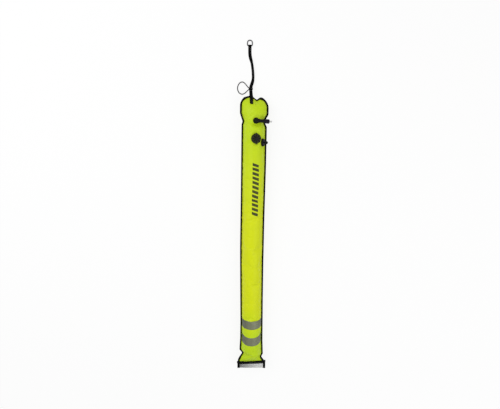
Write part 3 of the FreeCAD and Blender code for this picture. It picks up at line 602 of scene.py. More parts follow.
front_grid = panel_grid(1)
from_edge = panel_half[:, None] * (pi / 2 - np.abs(panel_angle))[None]
front_grid, front_held = seated(front_grid, from_edge)
back_grid = panel_grid(-1)
back_grid[..., 2] = np.maximum(back_grid[..., 2], FLOOR_CLEAR)


def coordinates(mesh):
    """A mesh's points as an array."""
    values = np.zeros(len(mesh.vertices) * 3)
    mesh.vertices.foreach_get("co", values)
    return values.reshape(-1, 3)


def blown_up(front, back, seat, reach):
    """Both panels after twenty frames of cloth under pressure, joined and held at the seam.

    The cloth is a little larger than its outline, so it puckers along the seam.  No point
    goes further than reach from where it started, by move * min(1, reach / length)."""
    shape = front.shape[:2]
    top = np.arange(shape[0] * shape[1]).reshape(shape)
    under = top.copy()
    inner = (slice(1, -1), slice(1, -1))
    under[inner] = top.size + np.arange(under[inner].size).reshape(under[inner].shape)
    points = np.r_[front.reshape(-1, 3), back[inner].reshape(-1, 3)]
    mesh = bpy.data.meshes.new("bag_cloth")
    mesh.from_pydata(points.tolist(), [], np.r_[quads_of(top), quads_of(under[:, ::-1])].tolist())
    cloth_bag = add_object("bag_cloth", mesh)
    edge = np.ones(shape, bool)
    edge[inner] = False
    cloth_bag.vertex_groups.new(name="held").add(top[edge | seat].tolist(), 1.0, "REPLACE")
    cloth = cloth_bag.modifiers.new("cloth", "CLOTH")
    cloth.collision_settings.use_collision = False
    cloth.settings.effector_weights.gravity = 0.0
    for setting, value in (("quality", 6), ("mass", 0.15), ("tension_stiffness", 25.0),
                           ("compression_stiffness", 25.0), ("shear_stiffness", 8.0),
                           ("bending_stiffness", 0.15), ("shrink_min", -0.022), ("use_pressure", True),
                           ("uniform_pressure_force", 4.0), ("vertex_group_mass", "held")):
        setattr(cloth.settings, setting, value)
    for frame_number in range(1, 21):
        scene.frame_set(frame_number)
    blown = cloth_bag.evaluated_get(bpy.context.evaluated_depsgraph_get())
    move = coordinates(blown.data) - points
    length = np.linalg.norm(move, axis=1, keepdims=True)
    points = points + move * np.minimum(1, reach / np.maximum(length, 1e-9))
    bpy.data.objects.remove(cloth_bag)
    bpy.data.meshes.remove(mesh)
    scene.frame_set(1)
    return points[top], points[under]


front_grid, back_grid = blown_up(front_grid, back_grid, front_held, 0.006)
back_grid[..., 2] = np.maximum(back_grid[..., 2], FLOOR_CLEAR)


def with_selvage(grid, lift):
    """A panel with its flat seam allowance, which lies inside the binding."""
    wide = np.pad(grid, ((1, 1), (1, 1), (0, 0)), mode="edge")
    wide[0, :, 1] -= SELVAGE_WIDTH
    wide[-1, :, 1] += SELVAGE_WIDTH
    for column, x in zip((0, -1), side_edges(SELVAGE_IN, panel_y)):
        wide[1:-1, column] = uneven(np.stack([x, panel_y, np.full(rows, SEAM_Z)], -1))
    for end, y in ((0, FAR_Y + SELVAGE_END_IN), (-1, HEAD_Y - SELVAGE_END_IN)):
        wide[end, :, 0] = np.clip(wide[end, :, 0], *side_edges(SELVAGE_IN, y))
    flat = np.ones(wide.shape[:2], bool)
    flat[2:-2, 2:-2] = False
    wide[flat, 2] = SEAM_Z + lift
    return wide


flat_half = (panel_half + panel_height) / 2
flat_u = np.pad(flat_half[:, None] * panel_angle[None], ((1, 1), (1, 1)), mode="edge")
flat_u[:, 0] -= SELVAGE_WIDTH
flat_u[:, -1] += SELVAGE_WIDTH
flat_v = np.pad(panel_y - FAR_Y, 1, mode="edge")
flat_v[[0, -1]] += (-SELVAGE_WIDTH, SELVAGE_WIDTH)
panel_uv = uv_grid(flat_u, flat_v[:, None])

FABRIC_THICK = 0.00045
FABRIC_HEAD = (0.495, 0.665, 0.007, 1)
FABRIC_MIDDLE = (0.640, 0.715, 0.003, 1)
FABRIC_FAR = (0.485, 0.675, 0.008, 1)
FABRIC_SOILED = (0.50, 0.60, 0.012, 1)
INK = (0.018, 0.020, 0.012, 1)
YARN = 0.00055
PRINT_START = 0.816                  # of the printed bars, from the far end
PRINT_PITCH = 0.0222
PRINT_SHARE = 0.64                   # of each pitch that is ink
PRINT_LENGTH = (11 + PRINT_SHARE) * PRINT_PITCH
PRINT_HALF = 0.0160
PRINT_X = 0.0110                     # of their middle, round the panel from its crest
PRINT_SLANT = 0.36


def blended(tree, share, first, second):
    """Mix of two colours, or sockets, by a share."""
    return add_node(tree, "Mix", "Result", {"Factor": share, "A": first, "B": second}, data_type="RGBA")


def xyz_of(tree, vector):
    """The three parts of a vector."""
    return add_node(tree, "SeparateXYZ", 0, {0: vector}).node.outputs


def inside(tree, value, low, high):
    """1 where a value lies between two others, 0 outside them."""
    over = maths(tree, "GREATER_THAN", value, low)
    return maths(tree, "MULTIPLY", over, maths(tree, "LESS_THAN", value, high))


def coated_nylon():
    """Fine plain weave under a thin coat, greener towards both ends, clouded and a little
    soiled, with a column of slanted bars printed where their own phase is under its share."""
    material, tree, shader = new_material("coated_nylon")
    place = add_node(tree, "TexCoord", "Object")
    uv = uv_of(tree)
    soil = noise(tree, place, 26.0, 6.0)
    y_and_z = xyz_of(tree, place)
    length = HEAD_Y - FAR_Y
    along = maths(tree, "MULTIPLY_ADD", y_and_z["Y"], 1 / length, -FAR_Y / length)
    wander = maths(tree, "MULTIPLY_ADD", noise(tree, place, 7.0, 3.0), 0.12, -0.06)
    tone = ramp(tree, maths(tree, "ADD", along, wander), (0.0, FABRIC_FAR), (0.12, FABRIC_FAR),
                (0.24, FABRIC_MIDDLE), (0.58, FABRIC_MIDDLE), (0.86, FABRIC_HEAD), (1.0, FABRIC_HEAD))
    soiled = maths(tree, "MULTIPLY", maths(tree, "SUBTRACT", soil, 0.48), 0.9)
    cloth = blended(tree, maths(tree, "MAXIMUM", soiled, 0.0), tone, FABRIC_SOILED)

    flat = xyz_of(tree, uv)
    across = maths(tree, "SUBTRACT", flat["X"], PRINT_X)
    from_start = maths(tree, "SUBTRACT", flat["Y"], PRINT_START)
    slanted = maths(tree, "MULTIPLY_ADD", across, PRINT_SLANT, from_start)
    within = maths(tree, "MULTIPLY", inside(tree, across, -PRINT_HALF, PRINT_HALF),
                   inside(tree, slanted, 0.0, PRINT_LENGTH))
    phase = maths(tree, "FRACT", maths(tree, "DIVIDE", slanted, PRINT_PITCH))
    bars = maths(tree, "MULTIPLY", maths(tree, "LESS_THAN", phase, PRINT_SHARE), within)
    bars = maths(tree, "MULTIPLY", bars, maths(tree, "GREATER_THAN", y_and_z["Z"], SEAM_Z))
    worn = maths(tree, "MULTIPLY", bars, maths(tree, "MULTIPLY_ADD", soil, -0.12, 1.0))

    warp, weft = (add_node(tree, "TexWave", "Fac", {"Vector": uv, "Scale": 0.314 / YARN},
                           bands_direction=direction) for direction in "XY")
    fine = bump(tree, maths(tree, "MULTIPLY", warp, weft), 0.22, 0.0001)
    connect(tree, shader, {"Base Color": blended(tree, worn, cloth, INK),
                           "Normal": bump(tree, soil, 0.25, 0.0010, fine),
                           "Roughness": maths(tree, "MULTIPLY_ADD", soil, 0.25, 0.36),
                           "Specular IOR Level": 0.22})
    return material


def thickened(piece, wall, offset, smooth=True):
    """The piece with a wall's thickness, once subdivided."""
    if smooth:
        once = piece.modifiers.new("subdivided", "SUBSURF")
        once.levels = once.render_levels = 1
    solid = piece.modifiers.new("thickness", "SOLIDIFY")
    solid.thickness = wall
    solid.offset = offset


fabric = coated_nylon()
for name, node, grid, side in (("bag_panel_front", "bag_front", front_grid, 1),
                               ("bag_panel_back", "bag_back", back_grid, -1)):
    points = with_selvage(grid, side * SELVAGE_LIFT)[:, ::side]
    panel = made(name, grid_mesh(points, uv=panel_uv[:, ::side]), fabric, node)
    thickened(panel, FABRIC_THICK, -1.0)

# ---- Seam binding --------------------------------------------------------------------
# Black woven tape folded over the welded seam and sewn through near its inner edge.  The
# head length is folded over the ends of the side lengths at the neck, and the far length
# over their other ends.
BINDING_HALF_THICK = 0.0013
TAPE_THICK = 0.00065
TAPE_OVER = 0.0003                   # of the head and far lengths, over the side lengths
PUCKER = 0.00035
STITCH_PITCH = 0.0036
STITCH_LENGTH = 0.0027
STITCH_IN = 0.0080                   # of the row of stitches, from the outline
STITCH_LIFT = 0.00005
SEWN_PITCH = 0.0030                  # of the stitches on webbing
THREAD_R = 0.00022
SIDES_FROM_END = 0.0045              # where the side lengths start and stop
SIDES_FROM_HEAD = -0.117
HEAD_FROM_HEAD = -0.122              # where the head length starts
END_LEFT, END_RIGHT = -0.0742, 0.0787
END_Y = FAR_Y - 0.0003


def tape_fold(width, half_thick, wall):
    """Section of a tape folded over an edge, as (outward, up) points: a rounded fold at zero and
    two legs that run inward, each as thick as the tape."""
    angle = np.linspace(pi / 2, -pi / 2, 7)
    fold = np.c_[half_thick * (np.cos(angle) - 1), half_thick * np.sin(angle)]
    gap = half_thick - wall
    upper = np.array([(-width, gap), (-width - 0.0001, half_thick - wall / 2), (-width + 0.0002, half_thick),
                      (-width * 0.66, half_thick), (-width * 0.33, half_thick)])
    hollow = np.array([(-width * 0.5, -gap), (-half_thick * 1.2, -gap * 0.8), (-half_thick * 1.2, gap * 0.8),
                       (-width * 0.5, gap)])
    lower = upper[::-1] * (1, -1)
    return np.r_[upper, fold, lower, hollow]


def folded_ends(grid, profile, line_ahead):
    """The grid with one more row beyond each end, where the tape's two faces meet."""
    shut = grid[[0, -1]].copy()
    leg = np.sign(profile[:, 1]) * (BINDING_HALF_THICK - TAPE_THICK / 2)
    shut[..., 2] += (leg - profile[:, 1])[None]
    shut[0] -= line_ahead[0] * TAPE_THICK / 3
    shut[1] += line_ahead[-1] * TAPE_THICK / 3
    return np.concatenate([shut[:1], grid, shut[1:]])


def along_edge(line, outward, along, profile):
    """A profile of (outward, up) points set at each point of the outline, as a grid, lifted by
    a slow irregular wave along the seam that grows towards the tape's inner edge."""
    points = line[:, None] + outward[:, None] * profile[None, :, 0:1]
    wave = np.sin(2 * pi * along / 0.031 + 1.7 * np.sin(2 * pi * along / 0.143))
    growth = np.clip(-profile[:, 0] / SEAM_WIDTH, 0.3, 1)
    lift = SEAM_Z + profile[None, :, 1] + PUCKER * wave[:, None] * growth[None]
    return uneven(np.dstack([points, lift]))


def repeated(origins, ahead, up, template, faces):
    """One mesh of a small template at every origin, its X along ahead and its Z along up."""
    frames = np.stack([ahead, np.cross(up, ahead), up], 1)
    vertices = origins[:, None] + np.einsum("vk,nkc->nvc", template, frames)
    numbers = np.arange(len(origins))[:, None, None] * len(template) + np.array(faces)[None]
    return shown_mesh(vertices.reshape(-1, 3), numbers.reshape(-1, numbers.shape[-1]).tolist())


def stitch_template(length, radius, sides=5):
    """One stitch: three rings that swell in the middle, closed at two points, all triangles."""
    turn = np.linspace(0, 2 * pi, sides, endpoint=False)
    rings = [(-0.42, 0.6, -0.35), (0.0, 1.0, 0.55), (0.42, 0.6, -0.35)]
    vertices = [(-length / 2, 0.0, -radius), (length / 2, 0.0, -radius)]
    for at, swell, lift in rings:
        for angle in turn:
            vertices.append((at * length, swell * radius * cos(angle), radius * (swell * sin(angle) + lift)))
    faces = []
    for number in range(sides):
        after = (number + 1) % sides
        faces += [(0, 2 + after, 2 + number), (1, 2 + 2 * sides + number, 2 + 2 * sides + after)]
        for ring in (0, sides):
            a, b = 2 + ring + number, 2 + ring + after
            faces += [(a, b, b + sides), (a, b + sides, a + sides)]
    return np.array(vertices), faces


def thread_finish():
    """Bonded polyester thread: near black, with a soft sheen on its ply."""
    material, tree, shader = new_material("sewing_thread")
    ply = add_node(tree, "TexWave", "Fac", {"Vector": add_node(tree, "TexCoord", "Object"), "Scale": 900.0},
                   bands_direction="DIAGONAL")
    tone = ramp(tree, ply, (0.0, (0.030, 0.030, 0.032, 1)), (1.0, (0.11, 0.11, 0.115, 1)))
    connect(tree, shader, {"Base Color": tone, "Roughness": 0.5})
    return material


binding_tape = webbing_finish("binding_tape", (0.0028, 0.0029, 0.0024), 0.0008)
thread = thread_finish()
stitch, stitch_faces = stitch_template(STITCH_LENGTH, THREAD_R)
edge_line = outline(0.001, step=0.0030)[0]
on_right = edge_line[:, 0] > AXIS_X
sides = (edge_line[:, 1] > FAR_Y + SIDES_FROM_END) & (edge_line[:, 1] < HEAD_Y + SIDES_FROM_HEAD)
end_line = np.linspace((AXIS_X + END_LEFT, END_Y), (AXIS_X + END_RIGHT, END_Y), 52)
lengths = [
    ("right", edge_line[on_right & sides], 0.0),
    ("left", edge_line[~on_right & sides], 0.0),
    ("head", edge_line[edge_line[:, 1] > HEAD_Y + HEAD_FROM_HEAD], TAPE_OVER),
    ("end", end_line, TAPE_OVER),
]
stitch_rows = []
for side, line, over in lengths:
    flat = np.c_[line, np.zeros(len(line))]
    even, along = evenly(flat, 0.003)
    profile = tape_fold(SEAM_WIDTH + over, BINDING_HALF_THICK + over, TAPE_THICK)
    grid = along_edge(even[:, :2], outward_of(even), along, profile)
    grid = folded_ends(grid, profile, directions(even))
    uv = uv_grid(np.pad(along, 1, mode="edge")[:, None], girth(profile)[None])
    made(f"binding_tape_{side}", grid_mesh(grid, around=True, uv=uv), binding_tape,
         f"binding_{side}")
    row, row_along = evenly(flat, STITCH_PITCH)
    for face in (1, -1):
        place = np.array([[-STITCH_IN, face * (BINDING_HALF_THICK + over + STITCH_LIFT)]])
        at = along_edge(row[:, :2], outward_of(row), row_along, place)[:, 0]
        stitch_rows.append((at, directions(at), np.broadcast_to(UP * face, at.shape)))

origins, ahead, up = (np.concatenate(parts) for parts in zip(*stitch_rows))
made("binding_stitches", repeated(origins, ahead, up, stitch, stitch_faces), thread)

# ---- Reflective bands -----------------------------------------------------------------
# Two strips of grey reflective tape, glued across the front panel from seam to seam.
BAND_WIDTH = 0.044
BAND_MOVE = 0.0022                   # of each band's middle, towards the head
BAND_LIFT = 0.0004
BAND_THICK = 0.0003
BAND_BOW = (0.0105, 0.0145)          # of its two edges' ends, towards the head


def facing(grid):
    """Unit normals of a grid: the cross product of its steps along rows and columns."""
    across = np.gradient(grid, axis=1)
    ahead = np.gradient(grid, axis=0)
    return unit(np.cross(across, ahead))


def rows_at(grid, y):
    """Points of the front panel at each column's own distances along it, between its rows."""
    row = np.interp(y, panel_y, np.arange(rows))
    low = np.clip(row.astype(int), 0, rows - 2)
    share = (row - low)[..., None]
    column = np.arange(PANEL_COLUMNS)[None]
    return grid[low, column] * (1 - share) + grid[low + 1, column] * share


def spread(tree, value, start, end):
    """A value carried from one range to another, and held at both its ends."""
    return add_node(tree, "MapRange", "Result", {"Value": value, "From Min": start[0], "From Max": start[1],
                                                 "To Min": end[0], "To Max": end[1]})


def cells_finish():
    """Reflective tape: dull grey over fine beads, embossed with small diamond cells, with painted
    shade: darker where the distance from its middle nears the seams and it turns away round the tube."""
    material, tree, shader = new_material("reflective_tape")
    uv = uv_of(tree)
    edge = add_node(tree, "TexVoronoi", "Distance", {"Vector": uv, "Scale": 330.0, "Randomness": 0.0},
                    feature="DISTANCE_TO_EDGE")
    tone = ramp(tree, edge, (0.04, (0.116, 0.124, 0.083, 1)), (0.12, (0.209, 0.223, 0.139, 1)))
    across = maths(tree, "ABSOLUTE", maths(tree, "SUBTRACT", xyz_of(tree, uv)["X"], 0.010))
    # Painted shade: the band darkens towards both seams, where it turns away round the tube.
    painted_edge_shade = spread(tree, across, (0.025, 0.075), (0.0, 0.75))
    connect(tree, shader, {"Base Color": blended(tree, painted_edge_shade, tone, (0.028, 0.029, 0.038, 1)),
                           "Normal": bump(tree, noise(tree, uv, 2600.0), 0.25, 0.0001),
                           "Metallic": 0.25, "Roughness": 0.42})
    return material


front_facing = facing(front_grid)
reflective = cells_finish()
for place in ("lower", "upper"):
    low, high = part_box(f"reflective_band_{place}")
    middle = (low.y + high.y) / 2
    across = np.linspace(0, 1, 8)[:, None]
    bow = BAND_BOW[0] * (1 - across) + BAND_BOW[1] * across
    across_y = middle + BAND_MOVE + (across - 0.5) * BAND_WIDTH + bow * (1 - np.cos(panel_angle))[None]
    lift = np.full(PANEL_COLUMNS, BAND_LIFT)
    lift[[0, -1]] = 0.0
    grid = rows_at(front_grid, across_y) + rows_at(front_facing, across_y) * lift[None, :, None]
    band = made(f"reflective_tape_{place}", grid_mesh(grid, uv=uv_grid(TUBE_R * panel_angle[None], across_y)),
                reflective, f"reflective_band_{place}")
    thickened(band, BAND_THICK, 1.0)

# ---- Strap tab ------------------------------------------------------------------------
# The strap's sewn end: webbing with a rounded tip, laid on the head's front panel, carried
# out over the binding and held by a boxed cross of stitches.
TAB_X_TIP = AXIS_X - 0.0125
TAB_X_OUT = AXIS_X - 0.0152
TAB_TIP_Y = HEAD_Y - 0.0350
TAB_OUT_Y = HEAD_Y + 0.0035
TAB_THICK = 0.0019
TAB_LIFT = 0.0004                    # of it over what it is sewn to
TAB_ROUND = 0.0072
TAB_FLARE = (1.08, 1.30)             # of its width at the tip and over the binding


def on_front(x, y):
    """Points of the blown up front panel that started at (x, y) on the outline's plan."""
    row = np.interp(y, panel_y, np.arange(rows))
    middle, half = np.interp(y, panel_y, panel_middle), np.interp(y, panel_y, panel_half)
    angle = np.arcsin(np.clip((x - middle) / half, -1, 1))
    column = (angle / pi + 0.5) * (PANEL_COLUMNS - 1)
    low_row = np.clip(row.astype(int), 0, rows - 2)
    low_column = np.clip(column.astype(int), 0, PANEL_COLUMNS - 2)
    r, c = (row - low_row)[..., None], (column - low_column)[..., None]
    near = front_grid[low_row, low_column] * (1 - c) + front_grid[low_row, low_column + 1] * c
    far = front_grid[low_row + 1, low_column] * (1 - c) + front_grid[low_row + 1, low_column + 1] * c
    return near * (1 - r) + far * r


tab_y = np.linspace(TAB_TIP_Y, TAB_OUT_Y, 44)
tab_sides = np.array([-0.5, 0.0, 0.5]) * STRAP_WIDTH
tab_x = np.interp(tab_y, [TAB_TIP_Y, TAB_OUT_Y], [TAB_X_TIP, TAB_X_OUT])
tab_rest = np.stack(np.broadcast_arrays(tab_x[:, None] + tab_sides[None], tab_y[:, None]), -1)
over_binding = uneven(np.dstack([tab_rest, np.full(tab_rest.shape[:2], SEAM_Z + BINDING_HALF_THICK)]))
tab_under = on_front(tab_rest[..., 0], tab_rest[..., 1])
tab_under = np.where((tab_y > panel_y[-1])[:, None, None], over_binding, tab_under)
tab_under[..., 2] = np.maximum(tab_under[..., 2], SEAM_Z + BINDING_HALF_THICK)
soften = np.array([1.0, 2, 3, 4, 3, 2, 1]) / 16
for column in range(3):
    for axis in (1, 2):
        held_ends = np.pad(tab_under[:, column, axis], 3, mode="reflect", reflect_type="odd")
        tab_under[:, column, axis] = np.convolve(held_ends, soften, mode="valid")
tab_line = tab_under[:, 1].copy()
tab_ahead = directions(tab_line)
tab_across = unit(tab_under[:, 2] - tab_under[:, 0])
tab_up = unit(np.cross(tab_across, tab_ahead))
tab_line += tab_up * (TAB_THICK / 2 + TAB_LIFT)
tab_along = np.r_[0, np.cumsum(np.linalg.norm(np.diff(tab_line, axis=0), axis=1))]
tip = np.clip(1 - tab_along / TAB_ROUND, 0, 1)
tab_flare = np.interp(tab_y, [TAB_TIP_Y, TAB_OUT_Y], TAB_FLARE)
tab_wide = tab_flare - (TAB_ROUND - TAB_ROUND * np.sqrt(1 - tip ** 2 * 0.98)) / (STRAP_WIDTH / 2)
tab_profile = lozenge(STRAP_WIDTH, TAB_THICK)
tab_side = tab_profile[None, :, 0] * tab_wide[:, None]
tab_grid = (tab_line[:, None] + tab_across[:, None] * tab_side[..., None]
            + tab_up[:, None] * tab_profile[None, :, 1:2])
tab_uv = uv_grid(tab_along[:, None], girth(tab_profile)[None])
made("webbing_strap_tab", grid_mesh(tab_grid, around=True, caps=True, uv=tab_uv), webbing,
     "strap_tab")


def sewn_lines(corners, pitch):
    """Stitch places along straight lines through (along, side) corners, and their directions."""
    places, ways = [], []
    for start, end in zip(corners[:-1], corners[1:]):
        start, end = np.array(start), np.array(end)
        count = max(1, int(np.linalg.norm(end - start) / pitch))
        places.append(start + (end - start) * ((np.arange(count) + 0.5) / count)[:, None])
        ways.append(np.broadcast_to(unit(end - start), (count, 2)))
    return np.concatenate(places), np.concatenate(ways)


def boxed_cross(start, end, half):
    """Corners of a box of stitches with its two diagonals, in (along, side)."""
    low, high = (start, -half), (end, -half)
    return [low, high, (end, half), (start, half), low, (end, half), high, (start, half)]


def stitched(name, corners, line, along, across, up, lift):
    """A row of stitches on a strap: each (along, side) place is carried to line + side + lift."""
    places, ways = sewn_lines(corners, SEWN_PITCH)
    point, side, normal = (np.stack([np.interp(places[:, 0], along, field[:, axis]) for axis in range(3)], 1)
                           for field in (line, across, up))
    ahead = unit(np.cross(normal, side))
    ahead *= np.sign(np.sum(ahead * np.mean(directions(line), 0), axis=1, keepdims=True))
    origins = point + side * places[:, 1:] + normal * lift
    way = unit(ahead * ways[:, :1] + side * ways[:, 1:])
    made(name, repeated(origins, way, normal, stitch, stitch_faces), thread)


stitched("strap_tab_stitches", boxed_cross(0.0045, 0.0235, 0.0050), tab_line, tab_along, tab_across, tab_up,
         TAB_THICK / 2 + STITCH_LIFT)

# ---- Strap fold and ring --------------------------------------------------------------
# The strap's far end goes round the bar of a bent steel wire ring and back over itself, and
# is sewn down with a boxed cross of stitches.
WIRE_R = 0.0029
RING_HALF = 0.0120
RING_REACH = 0.0260
FOLD_LOW, FOLD_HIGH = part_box("strap_fold")
FOLD_R = 0.0040                      # of the webbing's middle round the bar
FOLD_X = (FOLD_LOW.x + FOLD_HIGH.x) / 2
BAR_IN = 0.0051                      # of the ring's bar, from the fold's outer end
BAR_Z = 0.0053
UNDER_Z, OVER_Z = 0.0013, 0.0034     # of the middles of the fold's two layers
FOLD_EASE = 0.0095                   # from the bar to where the layers meet
RING_ROUNDS = (0.0060, 0.0119)       # of the wire's bends, at the bar and at the far end
bar = np.array([FOLD_X, FOLD_HIGH.y - BAR_IN, BAR_Z])
fold_start = FOLD_LOW.y - 0.0005

swing = np.linspace(-pi / 2, pi / 2, 14)
eye = np.c_[bar[1] + FOLD_R * np.cos(swing), bar[2] + FOLD_R * np.sin(swing)]
under_y = np.linspace(fold_start, bar[1], 12)[:-1]
under = np.c_[under_y, np.full(len(under_y), UNDER_Z)]
over_y = np.linspace(bar[1], fold_start + 0.0015, 18)[1:]
settle = smooth_step((bar[1] - over_y) / FOLD_EASE)
over = np.c_[over_y, (bar[2] + FOLD_R) * (1 - settle) + OVER_Z * settle]
fold_yz = np.r_[under, eye, over]
fold_line, fold_along = evenly(np.c_[np.full(len(fold_yz), FOLD_X), fold_yz], 0.0008)
fold_across = np.tile([1.0, 0.0, 0.0], (len(fold_line), 1))
fold_up = np.cross(fold_across, directions(fold_line))
fold_profile = lozenge(STRAP_WIDTH + SELVAGE, STRAP_THICK)
fold_uv = uv_grid(fold_along[:, None], girth(fold_profile)[None])
fold_grid = carried(fold_line, fold_across, fold_up, fold_profile)
fold = made("webbing_ring_fold", grid_mesh(fold_grid, around=True, caps=True, uv=fold_uv), webbing,
            "strap_fold")
sewn_to = fold_along[-1]
stitched("ring_fold_stitches", boxed_cross(sewn_to - 0.0140, sewn_to - 0.0015, 0.0052), fold_line, fold_along,
         fold_across, fold_up, -STRAP_THICK / 2 - STITCH_LIFT)

near, far = RING_ROUNDS
ring_corners = [(0.0, 0.0, 0.0), (RING_HALF, 0.0, near), (RING_HALF, RING_REACH, far),
                (-RING_HALF, RING_REACH, far), (-RING_HALF, 0.0, near), (0.0, 0.0, 0.0)]
ring_flat, ring_out, _ = rounded_path(ring_corners, 0.0008)
ring_tilt = np.arcsin((bar[2] - WIRE_R - 0.0002) / RING_REACH)
ring_axes = np.array([[1, 0, 0], [0, cos(ring_tilt), -sin(ring_tilt)], [0, sin(ring_tilt), cos(ring_tilt)]])
spin = np.linspace(0, 2 * pi, 20, endpoint=False)
wire = ring_flat[:-1, None] + ring_out[:-1, None] * WIRE_R * np.cos(spin)[None, :, None]
wire = np.dstack([wire, np.broadcast_to(WIRE_R * np.sin(spin), wire.shape[:2])])

steel, tree, shader = new_material("polished_steel")
haze = noise(tree, add_node(tree, "TexCoord", "Object"), 320.0, 5.0)
matt = spread(tree, haze, (0.0, 1.0), (0.22, 0.42))
connect(tree, shader, {"Base Color": (0.125, 0.127, 0.13, 1), "Metallic": 1.0, "Roughness": matt,
                       "Normal": bump(tree, haze, 0.12, 0.0002)})
ring = made("steel_wire_ring", grid_mesh(bar + wire @ ring_axes, around=True, along=True), steel,
            "strap_ring")

# ---- Keeper ---------------------------------------------------------------------------
# A band of the same webbing sewn tight round the strap, with both ends of the line in it.
KEEPER_LENGTH = 0.014
KEEPER_INSIDE = (0.0158, 0.0032, 0.0012)         # width, thickness and corner
KEEPER_OUTSIDE = (0.0176, 0.0048, 0.0021)
KEEPER_SEWN = (0.0022, 0.0118)                   # its box of stitches, along it
KEEPER_SEWN_HALF = 0.0075
KEEPER_SEWN_LIFT = 0.0035
# How far the outside stands out at shares of the half length: its two edges are rounded.
KEEPER_GROWTH = [(-1.0, 0.0), (-0.97, 0.0006), (-0.85, 0.0010), (-0.3, 0.0011), (0.3, 0.0011), (0.85, 0.0010),
                 (0.97, 0.0006), (1.0, 0.0)]
keeper_ends = np.array(STRAP_POINTS[2:4])
keeper_ahead = unit(keeper_ends[1] - keeper_ends[0])
keeper_across = unit(np.cross(keeper_ahead, UP))
keeper_up = np.cross(keeper_across, keeper_ahead)
keeper_middle = keeper_ends.mean(0)


def rounded_box(wide, thick, radius, count=7):
    """Closed rectangle of (side, lift) points with round corners."""
    angle = np.linspace(0, pi / 2, count)
    corner = np.c_[np.cos(angle), np.sin(angle)] * radius + (wide / 2 - radius, thick / 2 - radius)
    upper = np.r_[corner, corner[::-1] * (-1, 1)]
    return np.r_[upper, -upper]


wide, thick, round_corner = KEEPER_OUTSIDE
keeper_rows = [(at, rounded_box(wide + 2 * grow, thick + 2 * grow, round_corner + grow))
               for at, grow in KEEPER_GROWTH]
keeper_rows += [(at, rounded_box(*KEEPER_INSIDE)) for at in (0.97, 0.0, -0.97)]
keeper_grid = np.array([np.c_[section[:, 0], np.full(len(section), at * KEEPER_LENGTH / 2), section[:, 1]]
                        for at, section in keeper_rows])
keeper_grid = keeper_middle + keeper_grid @ np.stack([keeper_across, keeper_ahead, keeper_up])
keeper_uv = uv_grid(girth(rounded_box(0.0190, 0.0060, 0.0030))[None],
                    np.linspace(0, 2 * KEEPER_LENGTH, len(keeper_rows) + 1)[:, None])
keeper_mesh = grid_mesh(keeper_grid[:, ::-1], around=True, along=True, uv=keeper_uv[:, ::-1])
keeper = made("webbing_keeper", keeper_mesh, webbing, "strap_keeper")
keeper_line = keeper_middle + np.linspace(-0.5, 0.5, 5)[:, None] * KEEPER_LENGTH * keeper_ahead
keeper_along = np.linspace(0, KEEPER_LENGTH, 5)
keeper_box = [(along, side * KEEPER_SEWN_HALF)
              for along, side in zip(np.take(KEEPER_SEWN, (0, 0, 1, 1, 0)), (-1, 1, 1, -1, -1))]
stitched("keeper_stitches", keeper_box, keeper_line, keeper_along, np.tile(keeper_across, (5, 1)),
         np.tile(keeper_up, (5, 1)), KEEPER_SEWN_LIFT)

# ---- Light stick sleeve -----------------------------------------------------------------
# A tube of soft clear vinyl, its tail sewn into the far seam, for a light stick pushed in
# from either side.  Black tape is folded round both of its mouths.
SLEEVE_LOW, SLEEVE_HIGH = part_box("light_sleeve")
SLEEVE_STRETCH = (0.0010, 0.0050)    # of its left and right mouths, towards +X
SLEEVE_SECTION = [(0.0, 0.0011, 0.0), (-0.009, 0.0055, 0.006), (-0.034, 0.0055, 0.005),
                  (-0.034, -0.0055, 0.005), (-0.009, -0.0055, 0.006), (0.0, -0.0011, 0.0)]
VINYL_THICK = 0.0006
VINYL_GREY = (0.14, 0.14, 0.14, 1)
VINYL_CLEAR = (0.70, 0.70, 0.69, 1)

sleeve_profile, sleeve_out, sleeve_along = rounded_path(SLEEVE_SECTION, 0.0012)


def sleeve_points(x, grow, soft):
    """The sleeve's (Y, Z) section carried along X, grown along its normals and dented softly:
    grow + soft * a sum of three slow sines of X and of the distance round the section."""
    across = x[:, None] - AXIS_X
    round_it = sleeve_along[None]
    dent = (np.sin(across / 0.0085 + 9 * round_it / 0.03) + np.sin(across / 0.019 + 1.1 - 4 * round_it / 0.03)
            + 0.6 * np.sin(across / 0.0047 + round_it / 0.004)) / 2.6
    free = np.sin(pi * sleeve_along / sleeve_along[-1]) ** 0.7
    out = grow + soft * dent * free[None]
    y = END_Y + sleeve_profile[None, :, 0] + sleeve_out[None, :, 0] * out
    z = SEAM_Z + sleeve_profile[None, :, 1] + sleeve_out[None, :, 1] * out
    return uneven(np.stack([np.broadcast_to(x[:, None], y.shape), y, z], -1))


sleeve_x = np.linspace(SLEEVE_LOW.x + SLEEVE_STRETCH[0], SLEEVE_HIGH.x + SLEEVE_STRETCH[1], 76)
sleeve_grid = sleeve_points(sleeve_x, -VINYL_THICK / 2, 0.0006)

vinyl, tree, shader = new_material("clear_vinyl")
uv = uv_of(tree)
cloud = noise(tree, uv, 38.0, 4.0)
milky = spread(tree, cloud, (0.3, 0.7), (0.38, 0.58))
rub = spread(tree, cloud, (0.0, 1.0), (0.10, 0.32))
x_and_round = xyz_of(tree, uv)
from_tail = maths(tree, "MINIMUM", x_and_round["Y"],
                  maths(tree, "SUBTRACT", float(sleeve_along[-1]), x_and_round["Y"]))
pressed = spread(tree, from_tail, (0.0065, 0.0170), (0.03, 1.0))
clearer = spread(tree, x_and_round["X"], (SLEEVE_LOW.x, AXIS_X + 0.034), (0.0, 1.0))
dense = maths(tree, "MULTIPLY", maths(tree, "MULTIPLY_ADD", clearer, -0.4, 1.4), milky)
connect(tree, shader, {"Base Color": blended(tree, clearer, VINYL_GREY, VINYL_CLEAR),
                       "Alpha": maths(tree, "MULTIPLY", dense, pressed), "Roughness": rub,
                       "Normal": bump(tree, cloud, 0.35, 0.0012), "Specular IOR Level": 0.35})
